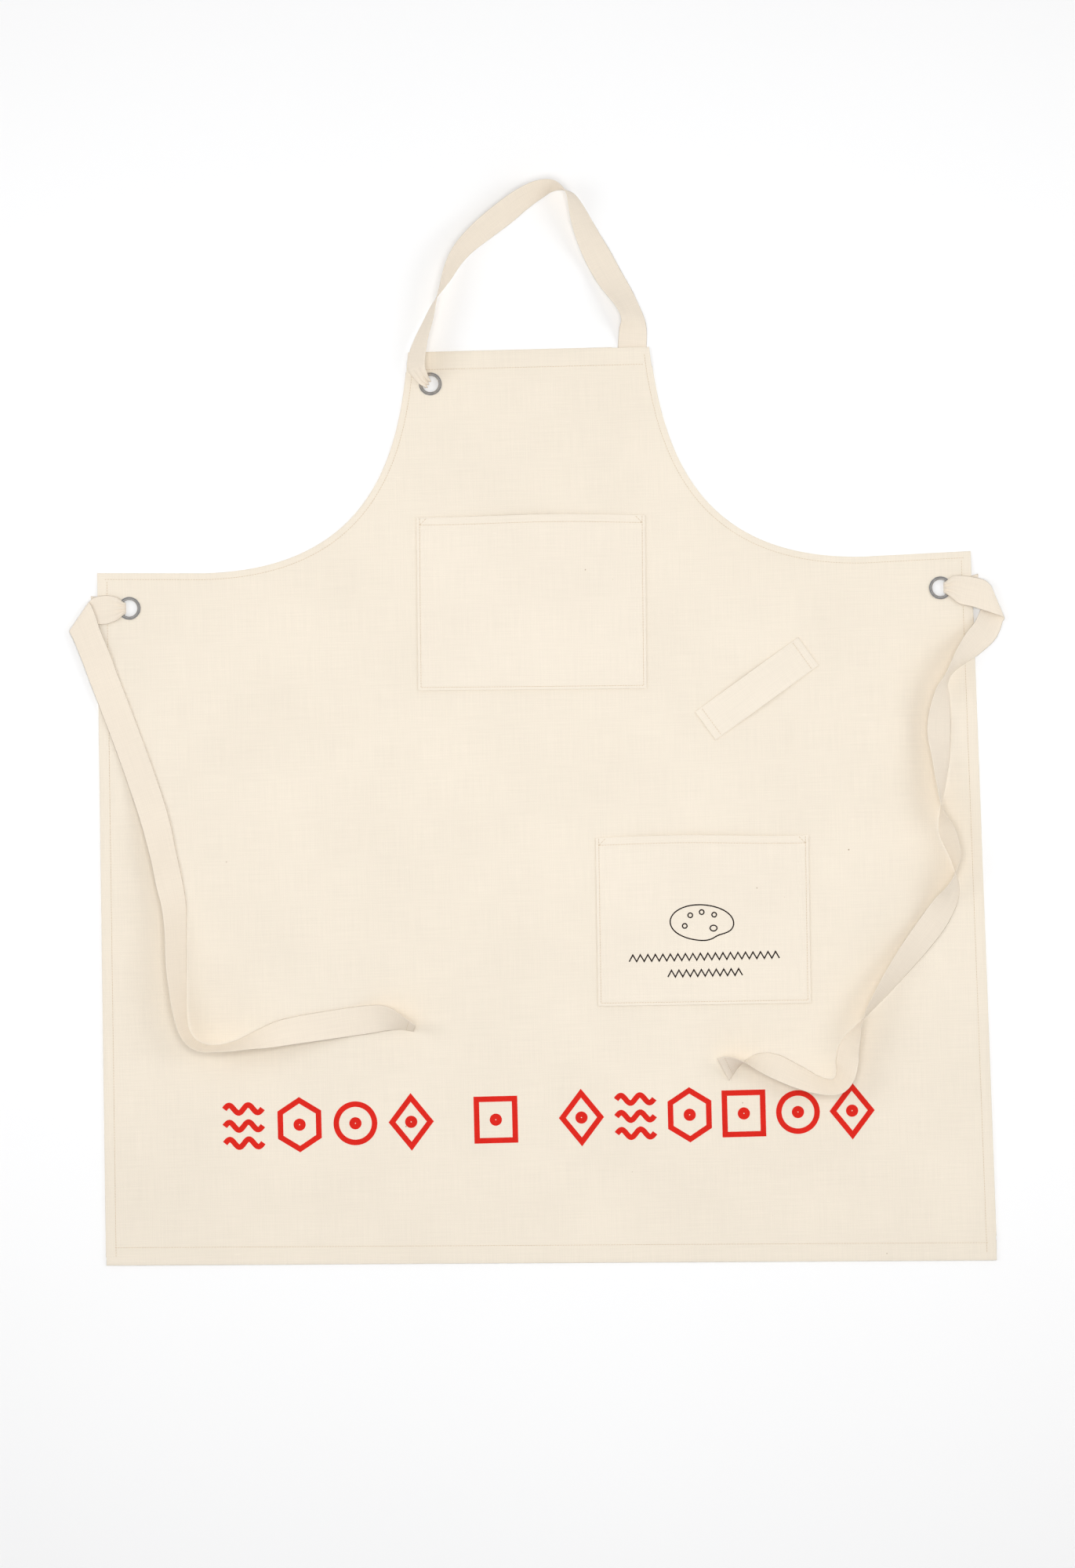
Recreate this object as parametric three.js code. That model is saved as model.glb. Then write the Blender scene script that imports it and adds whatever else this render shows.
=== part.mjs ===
// A bib apron in cotton canvas, laid out flat on a table with its front up.
// Millimetres. +X is to the right as seen from above, +Y runs towards the bib and +Z is up.
// The origin is under the middle of the canvas, on the table.
import * as THREE from 'three';

// Canvas panel
const LENGTH = 954;          // bib top to the middle of the hem
const HEM_WIDTH = 930;       // corner to corner along the bottom
const WAIST_WIDTH = 913;     // between the two side corners
const BIB_WIDTH = 252;       // along the bib top
const BIB_DROP = 222.5;      // bib top down to the side corners
const HEM_SKEW = 9;          // how far the hem runs out of square at each corner
const PLY = 0.8;             // one thickness of canvas

// Armholes: one curve from the bib corner, then a straight edge to the side corner
const ARMHOLE_LEAN = 10;     // how far the curve leans out as it leaves the bib
const ARMHOLE_DEPTH = 105;   // how far it keeps to the bib's side
const ARMHOLE_HOLLOW = 42;   // where it turns, out from the bib corner
const ARMHOLE_STRAIGHT = 111; // straight edge next to the side corner
const ARMHOLE_DIP = 3;       // how far the curve falls below the side corner

// Turned edges, each two more thicknesses under the canvas
const BIB_HEM = 20;
const BOTTOM_HEM = 20;
const SIDE_HEM = 12;
const ARMHOLE_FACING = 8;
const CLEARANCE = 0.3;
const WRAP_GAP = 3;          // between a side hem and the tape that wraps the edge

// Pockets and loop: width, height, middle and turn
const CHEST_POCKET = { width: 239, height: 182, x: -3.5, drop: 264, turn: -0.9 };
const LOWER_POCKET = { width: 222.5, height: 176.5, x: 167.5, rise: 353.5, turn: -0.6 };
const TOOL_LOOP = { length: 133, width: 37, x: 229.5, rise: 594, turn: 34.5, tail: 10 };
const POCKET_GAPE = 8;       // how far a pocket mouth stands open in its middle
const LOOP_GAPE = 8;         // how far the loop stands off the canvas in its middle

// Eyelets: a grommet set through the canvas and the washer that it grips behind
const EYELET_HOLE = 8.4;     // radii
const EYELET_BARREL = 8.9;
const EYELET_FLANGE = 12.2;
const WASHER_RADIUS = 12;
const WASHER_THICKNESS = 0.5;
const FLANGE_HEIGHT = 1.2;
const LIP_THICKNESS = 0.3;
const LIP_SPREAD = 1.5;      // how far the lip is rolled out over the washer
const SHOULDER_SHARE = 0.65; // heights on the flange, as shares of its own
const BRIM_SHARE = 0.2;
const CROWN_INSET = 1.6;     // rounding of the flange, in from its outer edge
const SHOULDER_INSET = 0.6;
const CROWN_FLARE = 1.2;     // rounding of the hole, out from its own edge
const SHOULDER_FLARE = 0.3;
const RING_STEPS = 40;
const NECK_EYELET = { inset: 22.5, drop: 33 };
const SIDE_EYELET = { inset: 32.5, drop: 37 };

// Tape
const TAPE_WIDTH = 30;
const TAPE_THICKNESS = 0.7;
const TABLE_GAP = 0.05;      // the tape keeps this far above the table
const STEPS_PER_STATION = 2;

const CANVAS_BOTTOM = 2 * PLY;
const CANVAS_TOP = CANVAS_BOTTOM + PLY;
const TOP = (LENGTH + HEM_SKEW) / 2;
const HEM_LEVEL = TOP - LENGTH;
const CORNER_LEVEL = TOP - BIB_DROP;

const LEFT = -1;
const RIGHT = 1;

const canvas = { color: 0xf1e6d3, roughness: 0.9, metalness: 0 };
const tape = { color: 0xf3ecdf, roughness: 0.85, metalness: 0 };
const nickel = { color: 0xc9c5bd, roughness: 0.25, metalness: 1 };

const apron = new THREE.Group();

function addPiece(name, geometry, finish) {
  const mesh = new THREE.Mesh(geometry, new THREE.MeshStandardMaterial(finish));
  mesh.name = name;
  apron.add(mesh);
  return mesh;
}

function slab(shape, bottom, thickness) {
  const geometry = new THREE.ExtrudeGeometry(shape, { depth: thickness, bevelEnabled: false });
  geometry.translate(0, 0, bottom);
  return geometry;
}

function polygon(points) {
  return new THREE.Shape(points.map(([x, y]) => new THREE.Vector2(x, y)));
}

// Corners of the panel. side is LEFT or RIGHT.
function sideCorner(side) {
  return [side * WAIST_WIDTH / 2, CORNER_LEVEL];
}

function hemCorner(side) {
  return [side * HEM_WIDTH / 2, HEM_LEVEL - side * HEM_SKEW];
}

// The point of the side edge at a height, moved in from the edge by inset.
function sideEdge(side, y, inset = 0) {
  const [topX, topY] = sideCorner(side);
  const [bottomX, bottomY] = hemCorner(side);
  const share = (topY - y) / (topY - bottomY);
  return [topX + share * (bottomX - topX) - side * inset, y];
}

// The point of the bottom edge at a distance from the middle, moved up by rise.
function bottomEdge(x, rise = 0) {
  return [x, HEM_LEVEL - HEM_SKEW * x / (HEM_WIDTH / 2) + rise];
}

function armhole(side) {
  const bib = BIB_WIDTH / 2;
  return new THREE.CubicBezierCurve(
    new THREE.Vector2(side * bib, TOP),
    new THREE.Vector2(side * (bib + ARMHOLE_LEAN), TOP - ARMHOLE_DEPTH),
    new THREE.Vector2(side * (bib + ARMHOLE_HOLLOW), CORNER_LEVEL - ARMHOLE_DIP),
    new THREE.Vector2(side * (WAIST_WIDTH / 2 - ARMHOLE_STRAIGHT), CORNER_LEVEL - ARMHOLE_DIP),
  );
}

const ARMHOLE_STEPS = 24;

function armholePoints(side) {
  return armhole(side).getPoints(ARMHOLE_STEPS).map((point) => [point.x, point.y]);
}

// Middles of the three eyelets
function sideEyelet(side) {
  const level = CORNER_LEVEL - SIDE_EYELET.drop;
  return [side * (WAIST_WIDTH / 2 - SIDE_EYELET.inset), level];
}

const neckEyelet = [-(BIB_WIDTH / 2 - NECK_EYELET.inset), TOP - NECK_EYELET.drop];

const eyelets = {
  neck: neckEyelet,
  left: sideEyelet(LEFT),
  right: sideEyelet(RIGHT),
};

function canvasPanel() {
  const outline = polygon([
    hemCorner(LEFT),
    hemCorner(RIGHT),
    sideCorner(RIGHT),
    ...armholePoints(RIGHT).reverse(),
    ...armholePoints(LEFT),
    sideCorner(LEFT),
  ]);
  for (const [x, y] of Object.values(eyelets)) {
    const hole = new THREE.Path();
    hole.absarc(x, y, EYELET_BARREL + CLEARANCE, 0, 2 * Math.PI, true);
    outline.holes.push(hole);
  }
  addPiece('canvas_panel', slab(outline, CANVAS_BOTTOM, PLY), canvas);
}

// A turned edge: a strip between the edge of the panel and a line inside it.
function turnedEdge(name, outer, inner) {
  const strip = polygon([...outer, ...inner.reverse()]);
  addPiece(name, slab(strip, 0, CANVAS_BOTTOM), canvas);
}

function bibTopHem() {
  const left = -BIB_WIDTH / 2;
  const right = BIB_WIDTH / 2 - NECK_STRAP_INSET - TAPE_WIDTH / 2 - CLEARANCE;
  const lower = TOP - BIB_HEM;
  turnedEdge('bib_top_hem', [[left, TOP], [right, TOP]], [[left, lower], [right, lower]]);
}

function bottomHem() {
  const rise = BOTTOM_HEM;
  const outer = [hemCorner(LEFT), hemCorner(RIGHT)];
  const inner = [LEFT, RIGHT].map((side) => {
    const level = bottomEdge(side * HEM_WIDTH / 2, rise)[1];
    return sideEdge(side, level);
  });
  turnedEdge('bottom_hem', outer, inner);
}

// The side hem stops short of the tape that wraps the edge at the eyelet.
function sideHem(name, side) {
  const upper = CORNER_LEVEL - SIDE_EYELET.drop - TAPE_WIDTH / 2 - WRAP_GAP;
  const lower = bottomEdge(side * HEM_WIDTH / 2, BOTTOM_HEM)[1] + 2 * CLEARANCE;
  const outer = [sideEdge(side, upper), sideEdge(side, lower)];
  const inner = [sideEdge(side, upper, SIDE_HEM), sideEdge(side, lower, SIDE_HEM)];
  turnedEdge(name, outer, inner);
}

// The facing follows the armhole from under the bib hem to the side corner.
function armholeFacing(name, side) {
  const curve = armhole(side);
  const outer = [];
  const inner = [];
  for (let step = 0; step <= ARMHOLE_STEPS; step += 1) {
    const share = step / ARMHOLE_STEPS;
    const point = curve.getPoint(share);
    if (point.y > TOP - BIB_HEM - CLEARANCE) continue;
    const along = curve.getTangent(share);
    outer.push([point.x, point.y]);
    inner.push([
      point.x + side * along.y * ARMHOLE_FACING,
      point.y - Math.abs(along.x) * ARMHOLE_FACING,
    ]);
  }
  const [x, y] = sideCorner(side);
  outer.push([x, y]);
  inner.push([x, y - ARMHOLE_FACING]);
  turnedEdge(name, outer, inner);
}

// How far a gaping edge stands off: 1 in the middle of the span, 0 at its two ends.
function swell(offset, span) {
  const share = Math.min(Math.abs(offset) / (span / 2), 1);
  return (1 + Math.cos(Math.PI * share)) / 2;
}

// A patch pocket: flat along its three sewn edges, standing open at the mouth.
function pocket(name, size, y) {
  const geometry = new THREE.BoxGeometry(size.width, size.height, PLY, 20, 10, 1);
  const place = geometry.attributes.position;
  for (let i = 0; i < place.count; i += 1) {
    const up = place.getY(i) / size.height + 0.5;
    const mouth = up * up * (3 - 2 * up);
    const lift = POCKET_GAPE * mouth * swell(place.getX(i), size.width);
    place.setZ(i, place.getZ(i) + PLY / 2 + lift);
  }
  const mesh = addPiece(name, geometry, canvas);
  mesh.position.set(size.x, y, CANVAS_TOP);
  mesh.rotation.z = THREE.MathUtils.degToRad(size.turn);
}

// A strap of canvas sewn down at its two tails, arched between them.
function toolLoop() {
  const { length, width, tail } = TOOL_LOOP;
  const geometry = new THREE.BoxGeometry(length, width, PLY, 28, 1, 1);
  const place = geometry.attributes.position;
  for (let i = 0; i < place.count; i += 1) {
    const lift = LOOP_GAPE * swell(place.getX(i), length - 2 * tail);
    place.setZ(i, place.getZ(i) + PLY / 2 + lift);
  }
  const mesh = addPiece('tool_loop', geometry, canvas);
  mesh.position.set(TOOL_LOOP.x, HEM_LEVEL + TOOL_LOOP.rise, CANVAS_TOP);
  mesh.rotation.z = THREE.MathUtils.degToRad(TOOL_LOOP.turn);
}

// A ring turned from a closed profile of [radius, height] points, anticlockwise.
function ring(profile) {
  const points = [...profile, profile[0]].map(([radius, height]) => new THREE.Vector2(radius, height));
  const geometry = new THREE.LatheGeometry(points, RING_STEPS);
  geometry.rotateX(Math.PI / 2);
  return geometry;
}

function eyelet(name, [x, y]) {
  const washerBottom = CANVAS_BOTTOM - WASHER_THICKNESS;
  const lipRadius = EYELET_BARREL + LIP_SPREAD;
  const crown = CANVAS_TOP + FLANGE_HEIGHT;
  const shoulder = CANVAS_TOP + FLANGE_HEIGHT * SHOULDER_SHARE;
  const brim = CANVAS_TOP + FLANGE_HEIGHT * BRIM_SHARE;
  const grommet = ring([
    [EYELET_HOLE, washerBottom - LIP_THICKNESS],
    [lipRadius, washerBottom - LIP_THICKNESS],
    [lipRadius, washerBottom],
    [EYELET_BARREL, washerBottom],
    [EYELET_BARREL, CANVAS_TOP],
    [EYELET_FLANGE, CANVAS_TOP],
    [EYELET_FLANGE, brim],
    [EYELET_FLANGE - SHOULDER_INSET, shoulder],
    [EYELET_FLANGE - CROWN_INSET, crown],
    [EYELET_HOLE + CROWN_FLARE, crown],
    [EYELET_HOLE + SHOULDER_FLARE, shoulder],
    [EYELET_HOLE, brim],
  ]);
  const washer = ring([
    [EYELET_BARREL + CLEARANCE, washerBottom],
    [WASHER_RADIUS, washerBottom],
    [WASHER_RADIUS, CANVAS_BOTTOM],
    [EYELET_BARREL + CLEARANCE, CANVAS_BOTTOM],
  ]);
  addPiece(`${name}_grommet`, grommet, nickel).position.set(x, y, 0);
  addPiece(`${name}_washer`, washer, nickel).position.set(x, y, 0);
}

// Routes of the three tapes, measured from the middle of the eyelet that each one passes through.
// Each station is [x, y, low, turn, roll, spread]: the middle of the tape in plan, the height of
// its lower edge, the plan angle across the tape, its roll out of flat, both in degrees, and
// its width as a share of the full width, which is smaller where it is gathered in an eyelet.
const LOW = TAPE_THICKNESS / 2 + TABLE_GAP;
const NECK_STRAP_INSET = 17.5; // bib corner to the middle of the strap

const NECK_STRAP_ROUTE = [
  [212, 15, LOW, 180, 0, 1],
  [212, 33, LOW, 178, 0, 1],
  [213, 50, 1, 178, 14, 1],
  [213, 62, 1.2, 188, 34, 1],
  [208, 75, 1, 205, 38, 1],
  [201, 88, 1, 210, 30, 1],
  [190, 106, 1, 210, 18, 1],
  [180, 125, 1, 207, 14, 1],
  [171, 143, 1, 204, 26, 1],
  [163, 162, 1, 200, 40, 1],
  [156, 181, 1, 203, 57, 1],
  [149, 194, 1, 225, 74, 1],
  [135, 201, 1, 258, 100, 1],
  [119, 198, 1, 284, 120, 1],
  [101, 189, 1, 299, 131, 1],
  [83, 176, 1, 306, 138, 1],
  [63, 161, 1, 308, 135, 1],
  [45, 146, 1, 314, 126, 1],
  [31, 130, 1, 324, 118, 1],
  [21, 112, 1, 332, 108, 1],
  [13, 96, 1, 335, 92, 1],
  [6, 81, 1.5, 336, 78, 1],
  [0, 65, 2, 339, 68, 1],
  [-7, 47, 3.4, 341, 60, 1],
  [-12, 31, 4.5, 346, 52, 1],
  [-14, 17, 4.8, 365, 50, 1],
  [-9, 7, 4.8, 390, 54, 0.8],
  [-4, 1.5, 4.6, 415, 40, 0.45],
  [-3.2, 0.6, 2.2, 420, 0, 0.35],
  [-5.5, 3, LOW, 420, 0, 0.35],
  [-11, 6.5, LOW, 420, 0, 0.4],
];

const LEFT_TIE_ROUTE = [
  [-40, -1, LOW, 270, 0, 1],
  [-24, -1, LOW, 270, 0, 0.85],
  [-12, 0, LOW, 270, 0, 0.42],
  [-6, 0, LOW, 270, 0, 0.35],
  [-3.6, 0, 2.2, 270, 0, 0.38],
  [-6, 0, 4.5, 270, 0, 0.46],
  [-13, 0, 4.6, 270, 0, 0.8],
  [-23, -1, 4.2, 268, 0, 1],
  [-34, -1.5, 3.6, 262, 0, 1],
  [-44, -3.5, 3.6, 246, 0, 1.1],
  [-51, -6.5, 3.7, 236, 0, 1.2],
  [-52, -7.5, 4.8, 234, 0, 1.22],
  [-51, -9, 5.9, 230, 0, 1.2],
  [-48, -17, 6, 214, 0, 1.08],
  [-44, -28, 5.8, 203, 0, 1],
  [-35, -52, 5, 199, 2, 1],
  [-29, -70, 4, 199, 3, 1],
  [-11, -121, 3.3, 199, 2, 1],
  [6, -171, 3.3, 198, 4, 1],
  [21, -219, 3.3, 195, 16, 1],
  [30, -258, 3.3, 192, 30, 1],
  [35, -286, 3.4, 190, 28, 1],
  [40, -312, 3.4, 185, 38, 1],
  [41, -340, 3.4, 180, 48, 1],
  [41, -372, 3.4, 181, 51, 1],
  [42, -401, 3.4, 183, 60, 1],
  [44, -423, 3.4, 186, 68, 1],
  [47, -440, 3.4, 200, 74, 1],
  [54, -453, 3.4, 222, 77, 1],
  [66, -460, 3.4, 256, 79, 1],
  [82, -461, 3.4, 273, 80, 1],
  [99, -459, 3.4, 279, 74, 1],
  [116, -455, 3.4, 285, 62, 1],
  [132, -451, 3.4, 285, 45, 1],
  [149, -447, 3.4, 280, 28, 1],
  [177, -443, 3.4, 277, 16, 1],
  [237, -436, 3.4, 273, -6, 1],
  [257, -435, 3.4, 264, -26, 1],
  [273, -439, 3.4, 252, -55, 1],
  [288, -445, 3.4, 248, -72, 1],
];

const RIGHT_TIE_ROUTE = [
  [40, -1, LOW, 90, 0, 1],
  [16, 0, LOW, 90, 0, 0.5],
  [6, 0, LOW, 90, 0, 0.35],
  [3.6, 0, 2.2, 90, 0, 0.38],
  [6, 0, 4.5, 90, 0, 0.46],
  [13, 0, 4.8, 86, 0, 0.8],
  [23, -3, 5, 78, 0, 1],
  [36, -6, 6.4, 80, 0, 1.03],
  [47, -10, 8, 94, 0, 1.1],
  [55, -14, 8, 106, 0, 1.16],
  [59, -17, 5.4, 112, 0, 1.18],
  [56, -22, 2.6, 117, 0, 1.16],
  [51, -35, 1.6, 127, 4, 1.05],
  [44, -47, 1.8, 134, 16, 1],
  [32, -59, 3.3, 134, 28, 1],
  [10, -82, 3.6, 146, 66, 1],
  [1, -96, 4, 156, 72, 1],
  [-3, -111, 5, 166, 52, 1],
  [-7, -145, 7, 180, 29, 1],
  [-6, -180, 5, 180, 47, 1],
  [-7, -216, 3.4, 178, 73, 1],
  [-6, -234, 3.4, 186, 92, 1],
  [-1, -254, 3.4, 195, 118, 1],
  [6, -278, 3.4, 188, 108, 1],
  [6, -296, 3.4, 174, 84, 1],
  [4, -313, 3.4, 160, 56, 1],
  [-6, -332, 3.4, 148, 28, 1],
  [-20, -353, 3.4, 143, 18, 1],
  [-46, -385, 3.4, 141, 32, 1],
  [-89, -440, 3.4, 145, 74, 1],
  [-107, -473, 3.4, 163, 124, 1],
  [-111, -491, 3.4, 170, 136, 1],
  [-114, -507, 3.4, 150, 125, 1],
  [-123, -517, 3.4, 110, 118, 1],
  [-139, -516, 3.4, 78, 122, 1],
  [-163, -506, 3.4, 66, 138, 1],
  [-186, -495, 3.4, 68, 144, 1],
  [-206, -489, 3.4, 76, 118, 1],
  [-230, -491, 3.4, 110, 52, 1],
  [-240, -497, 3.4, 118, 24, 1],
];

// The middle of the tape and half its width as vectors, at a share of the route.
function tapeFrame(route, share) {
  const [place, pose] = [0, 3].map((first) => {
    const points = route.map((station) => new THREE.Vector3(...station.slice(first, first + 3)));
    return new THREE.CatmullRomCurve3(points, false, 'catmullrom', 0.5).getPoint(share);
  });
  const turn = THREE.MathUtils.degToRad(pose.x);
  const roll = THREE.MathUtils.degToRad(pose.y);
  const half = new THREE.Vector3(
    Math.cos(turn) * Math.cos(roll),
    Math.sin(turn) * Math.cos(roll),
    Math.sin(roll),
  ).multiplyScalar(pose.z * TAPE_WIDTH / 2);
  place.z = Math.max(place.z, LOW) + Math.abs(half.z);
  return { middle: place, half };
}

// The corners of a tape's cross-section, across and through it, in half widths and thicknesses.
const CORNERS = [[-1, -1], [1, -1], [1, 1], [-1, 1]];

// A flat tape: a four-cornered cross-section at each frame, joined to the next along its sides.
function ribbon(name, route, [x, y]) {
  const steps = (route.length - 1) * STEPS_PER_STATION;
  const frames = [];
  for (let step = 0; step <= steps; step += 1) frames.push(tapeFrame(route, step / steps));
  const points = [];
  const triangles = [0, 3, 2, 0, 2, 1];
  frames.forEach(({ middle, half }, step) => {
    const before = frames[Math.max(step - 1, 0)].middle;
    const after = frames[Math.min(step + 1, steps)].middle;
    const face = after.clone().sub(before).cross(half).setLength(TAPE_THICKNESS / 2);
    for (const [across, through] of CORNERS) {
      points.push(middle.clone().addScaledVector(half, across).addScaledVector(face, through));
    }
  });
  for (let first = 0; first < 4 * steps; first += 4) {
    for (let side = 0; side < 4; side += 1) {
      const [a, b] = [first + side, first + (side + 1) % 4];
      const [c, d] = [b + 4, a + 4];
      // Both faces are split along the same diagonal, so a twist can't push one through the other.
      triangles.push(...(side < 2 ? [a, b, d, b, c, d] : [a, b, c, a, c, d]));
    }
  }
  const last = 4 * steps;
  triangles.push(last, last + 1, last + 2, last, last + 2, last + 3);
  const geometry = new THREE.BufferGeometry().setFromPoints(points).setIndex(triangles);
  geometry.computeVertexNormals();
  addPiece(name, geometry, tape).position.set(x, y, 0);
}

canvasPanel();
bibTopHem();
bottomHem();
sideHem('left_side_hem', LEFT);
sideHem('right_side_hem', RIGHT);
armholeFacing('left_armhole_facing', LEFT);
armholeFacing('right_armhole_facing', RIGHT);
pocket('chest_pocket', CHEST_POCKET, TOP - CHEST_POCKET.drop);
pocket('lower_pocket', LOWER_POCKET, HEM_LEVEL + LOWER_POCKET.rise);
toolLoop();
for (const [name, middle] of Object.entries(eyelets)) eyelet(name, middle);
ribbon('neck_strap', NECK_STRAP_ROUTE, eyelets.neck);
ribbon('left_tie', LEFT_TIE_ROUTE, eyelets.left);
ribbon('right_tie', RIGHT_TIE_ROUTE, eyelets.right);

export default apron;
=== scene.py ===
import math

import bpy
import numpy as np
from bpy.props import FloatProperty, FloatVectorProperty, IntProperty, PointerProperty
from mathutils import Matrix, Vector


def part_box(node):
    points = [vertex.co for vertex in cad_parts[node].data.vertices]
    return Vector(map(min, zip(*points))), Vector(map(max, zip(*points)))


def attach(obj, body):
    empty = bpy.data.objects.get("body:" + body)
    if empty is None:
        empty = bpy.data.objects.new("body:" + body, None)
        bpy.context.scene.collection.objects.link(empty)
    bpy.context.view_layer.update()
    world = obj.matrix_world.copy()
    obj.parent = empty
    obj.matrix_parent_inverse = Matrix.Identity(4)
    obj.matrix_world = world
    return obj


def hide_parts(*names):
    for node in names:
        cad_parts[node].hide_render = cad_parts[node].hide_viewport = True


bl_info = {
    "name": "Canvas Bib Apron",
    "version": (1, 0, 0),
    "blender": (4, 5, 0),
    "location": "3D View > Sidebar > Apron",
    "description": "Makes a canvas bib apron laid flat, with its pockets, tool loop, eyelets and tapes",
    "category": "Add Mesh",
}

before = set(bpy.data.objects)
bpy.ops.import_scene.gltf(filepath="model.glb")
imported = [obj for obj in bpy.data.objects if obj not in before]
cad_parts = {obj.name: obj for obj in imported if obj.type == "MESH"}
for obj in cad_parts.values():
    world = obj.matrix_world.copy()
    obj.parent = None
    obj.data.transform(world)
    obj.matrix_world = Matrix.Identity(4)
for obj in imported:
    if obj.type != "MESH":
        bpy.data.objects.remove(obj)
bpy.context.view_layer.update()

MM = 0.001
BODY = "root"
LEFT, RIGHT = -1, 1

# The panel's outline, from its node and from the sizes that shape it.
PANEL_LOW, PANEL_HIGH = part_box("canvas_panel")
CLOTH_TOP = PANEL_HIGH.z
TOP = PANEL_HIGH.y
HEM_HALF = PANEL_HIGH.x
HEM_SKEW = 9 * MM
HEM_LEVEL = PANEL_LOW.y + HEM_SKEW
BIB_HALF = 126 * MM
WAIST_HALF = 456.5 * MM
CORNER_LEVEL = 259 * MM
ARMHOLE = np.array([[126, 481.5], [136, 376.5], [168, 256], [345.5, 256]]) * MM

# Routes of the three tapes from the middle of the eyelet that each one passes through, in metres:
# [x, y, height of the lower edge], [plan angle across the tape, roll] in degrees, and the width
# as a share of the full width, which is smaller where the tape is gathered in an eyelet.
LOW = 0.4 * MM
NECK_STRAP_ROUTE = [
    (0.212, 0.015, LOW, 180, 0, 1),
    (0.212, 0.033, LOW, 178, 0, 1),
    (0.213, 0.050, 0.001, 178, 14, 1),
    (0.213, 0.062, 0.0012, 188, 34, 1),
    (0.208, 0.075, 0.001, 205, 38, 1),
    (0.201, 0.088, 0.001, 210, 30, 1),
    (0.190, 0.106, 0.001, 210, 18, 1),
    (0.180, 0.125, 0.001, 207, 14, 1),
    (0.171, 0.143, 0.001, 204, 26, 1),
    (0.163, 0.162, 0.001, 200, 40, 1),
    (0.156, 0.181, 0.001, 203, 57, 1),
    (0.149, 0.194, 0.001, 225, 74, 1),
    (0.135, 0.201, 0.001, 258, 100, 1),
    (0.119, 0.198, 0.001, 284, 120, 1),
    (0.101, 0.189, 0.001, 299, 131, 1),
    (0.083, 0.176, 0.001, 306, 138, 1),
    (0.063, 0.161, 0.001, 308, 135, 1),
    (0.045, 0.146, 0.001, 314, 126, 1),
    (0.031, 0.130, 0.001, 324, 118, 1),
    (0.021, 0.112, 0.001, 332, 108, 1),
    (0.013, 0.096, 0.001, 335, 92, 1),
    (0.006, 0.081, 0.0015, 336, 78, 1),
    (0.000, 0.065, 0.002, 339, 68, 1),
    (-0.007, 0.047, 0.0034, 341, 60, 1),
    (-0.012, 0.031, 0.0045, 346, 52, 1),
    (-0.014, 0.017, 0.0048, 365, 50, 1),
    (-0.009, 0.007, 0.0048, 390, 54, 0.8),
    (-0.004, 0.0015, 0.0046, 415, 40, 0.45),
    (-0.0032, 0.0006, 0.0022, 420, 0, 0.35),
    (-0.0055, 0.003, LOW, 420, 0, 0.35),
    (-0.011, 0.0065, LOW, 420, 0, 0.4),
]
LEFT_TIE_ROUTE = [
    (-0.040, -0.001, LOW, 270, 0, 1),
    (-0.024, -0.001, LOW, 270, 0, 0.85),
    (-0.012, 0.000, LOW, 270, 0, 0.42),
    (-0.006, 0.000, LOW, 270, 0, 0.35),
    (-0.0036, 0.000, 0.0022, 270, 0, 0.38),
    (-0.006, 0.000, 0.0045, 270, 0, 0.46),
    (-0.013, 0.000, 0.0046, 270, 0, 0.8),
    (-0.023, -0.001, 0.0042, 268, 0, 1),
    (-0.034, -0.0015, 0.0036, 262, 0, 1),
    (-0.044, -0.0035, 0.0036, 246, 0, 1.1),
    (-0.051, -0.0065, 0.0037, 236, 0, 1.2),
    (-0.052, -0.0075, 0.0048, 234, 0, 1.22),
    (-0.051, -0.009, 0.0059, 230, 0, 1.2),
    (-0.048, -0.017, 0.006, 214, 0, 1.08),
    (-0.044, -0.028, 0.0058, 203, 0, 1),
    (-0.035, -0.052, 0.005, 199, 2, 1),
    (-0.029, -0.070, 0.004, 199, 3, 1),
    (-0.011, -0.121, 0.0033, 199, 2, 1),
    (0.006, -0.171, 0.0033, 198, 4, 1),
    (0.021, -0.219, 0.0033, 195, 16, 1),
    (0.030, -0.258, 0.0033, 192, 30, 1),
    (0.035, -0.286, 0.0034, 190, 28, 1),
    (0.040, -0.312, 0.0034, 185, 38, 1),
    (0.041, -0.340, 0.0034, 180, 48, 1),
    (0.041, -0.372, 0.0034, 181, 51, 1),
    (0.042, -0.401, 0.0034, 183, 60, 1),
    (0.044, -0.423, 0.0034, 186, 68, 1),
    (0.047, -0.440, 0.0034, 200, 74, 1),
    (0.054, -0.453, 0.0034, 222, 77, 1),
    (0.066, -0.460, 0.0034, 256, 79, 1),
    (0.082, -0.461, 0.0034, 273, 80, 1),
    (0.099, -0.459, 0.0034, 279, 74, 1),
    (0.116, -0.455, 0.0034, 285, 62, 1),
    (0.132, -0.451, 0.0034, 285, 45, 1),
    (0.149, -0.447, 0.0034, 280, 28, 1),
    (0.177, -0.443, 0.0034, 277, 16, 1),
    (0.237, -0.436, 0.0034, 273, -6, 1),
    (0.257, -0.435, 0.0034, 264, -26, 1),
    (0.273, -0.439, 0.0034, 252, -55, 1),
    (0.288, -0.445, 0.0034, 248, -72, 1),
]
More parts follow.
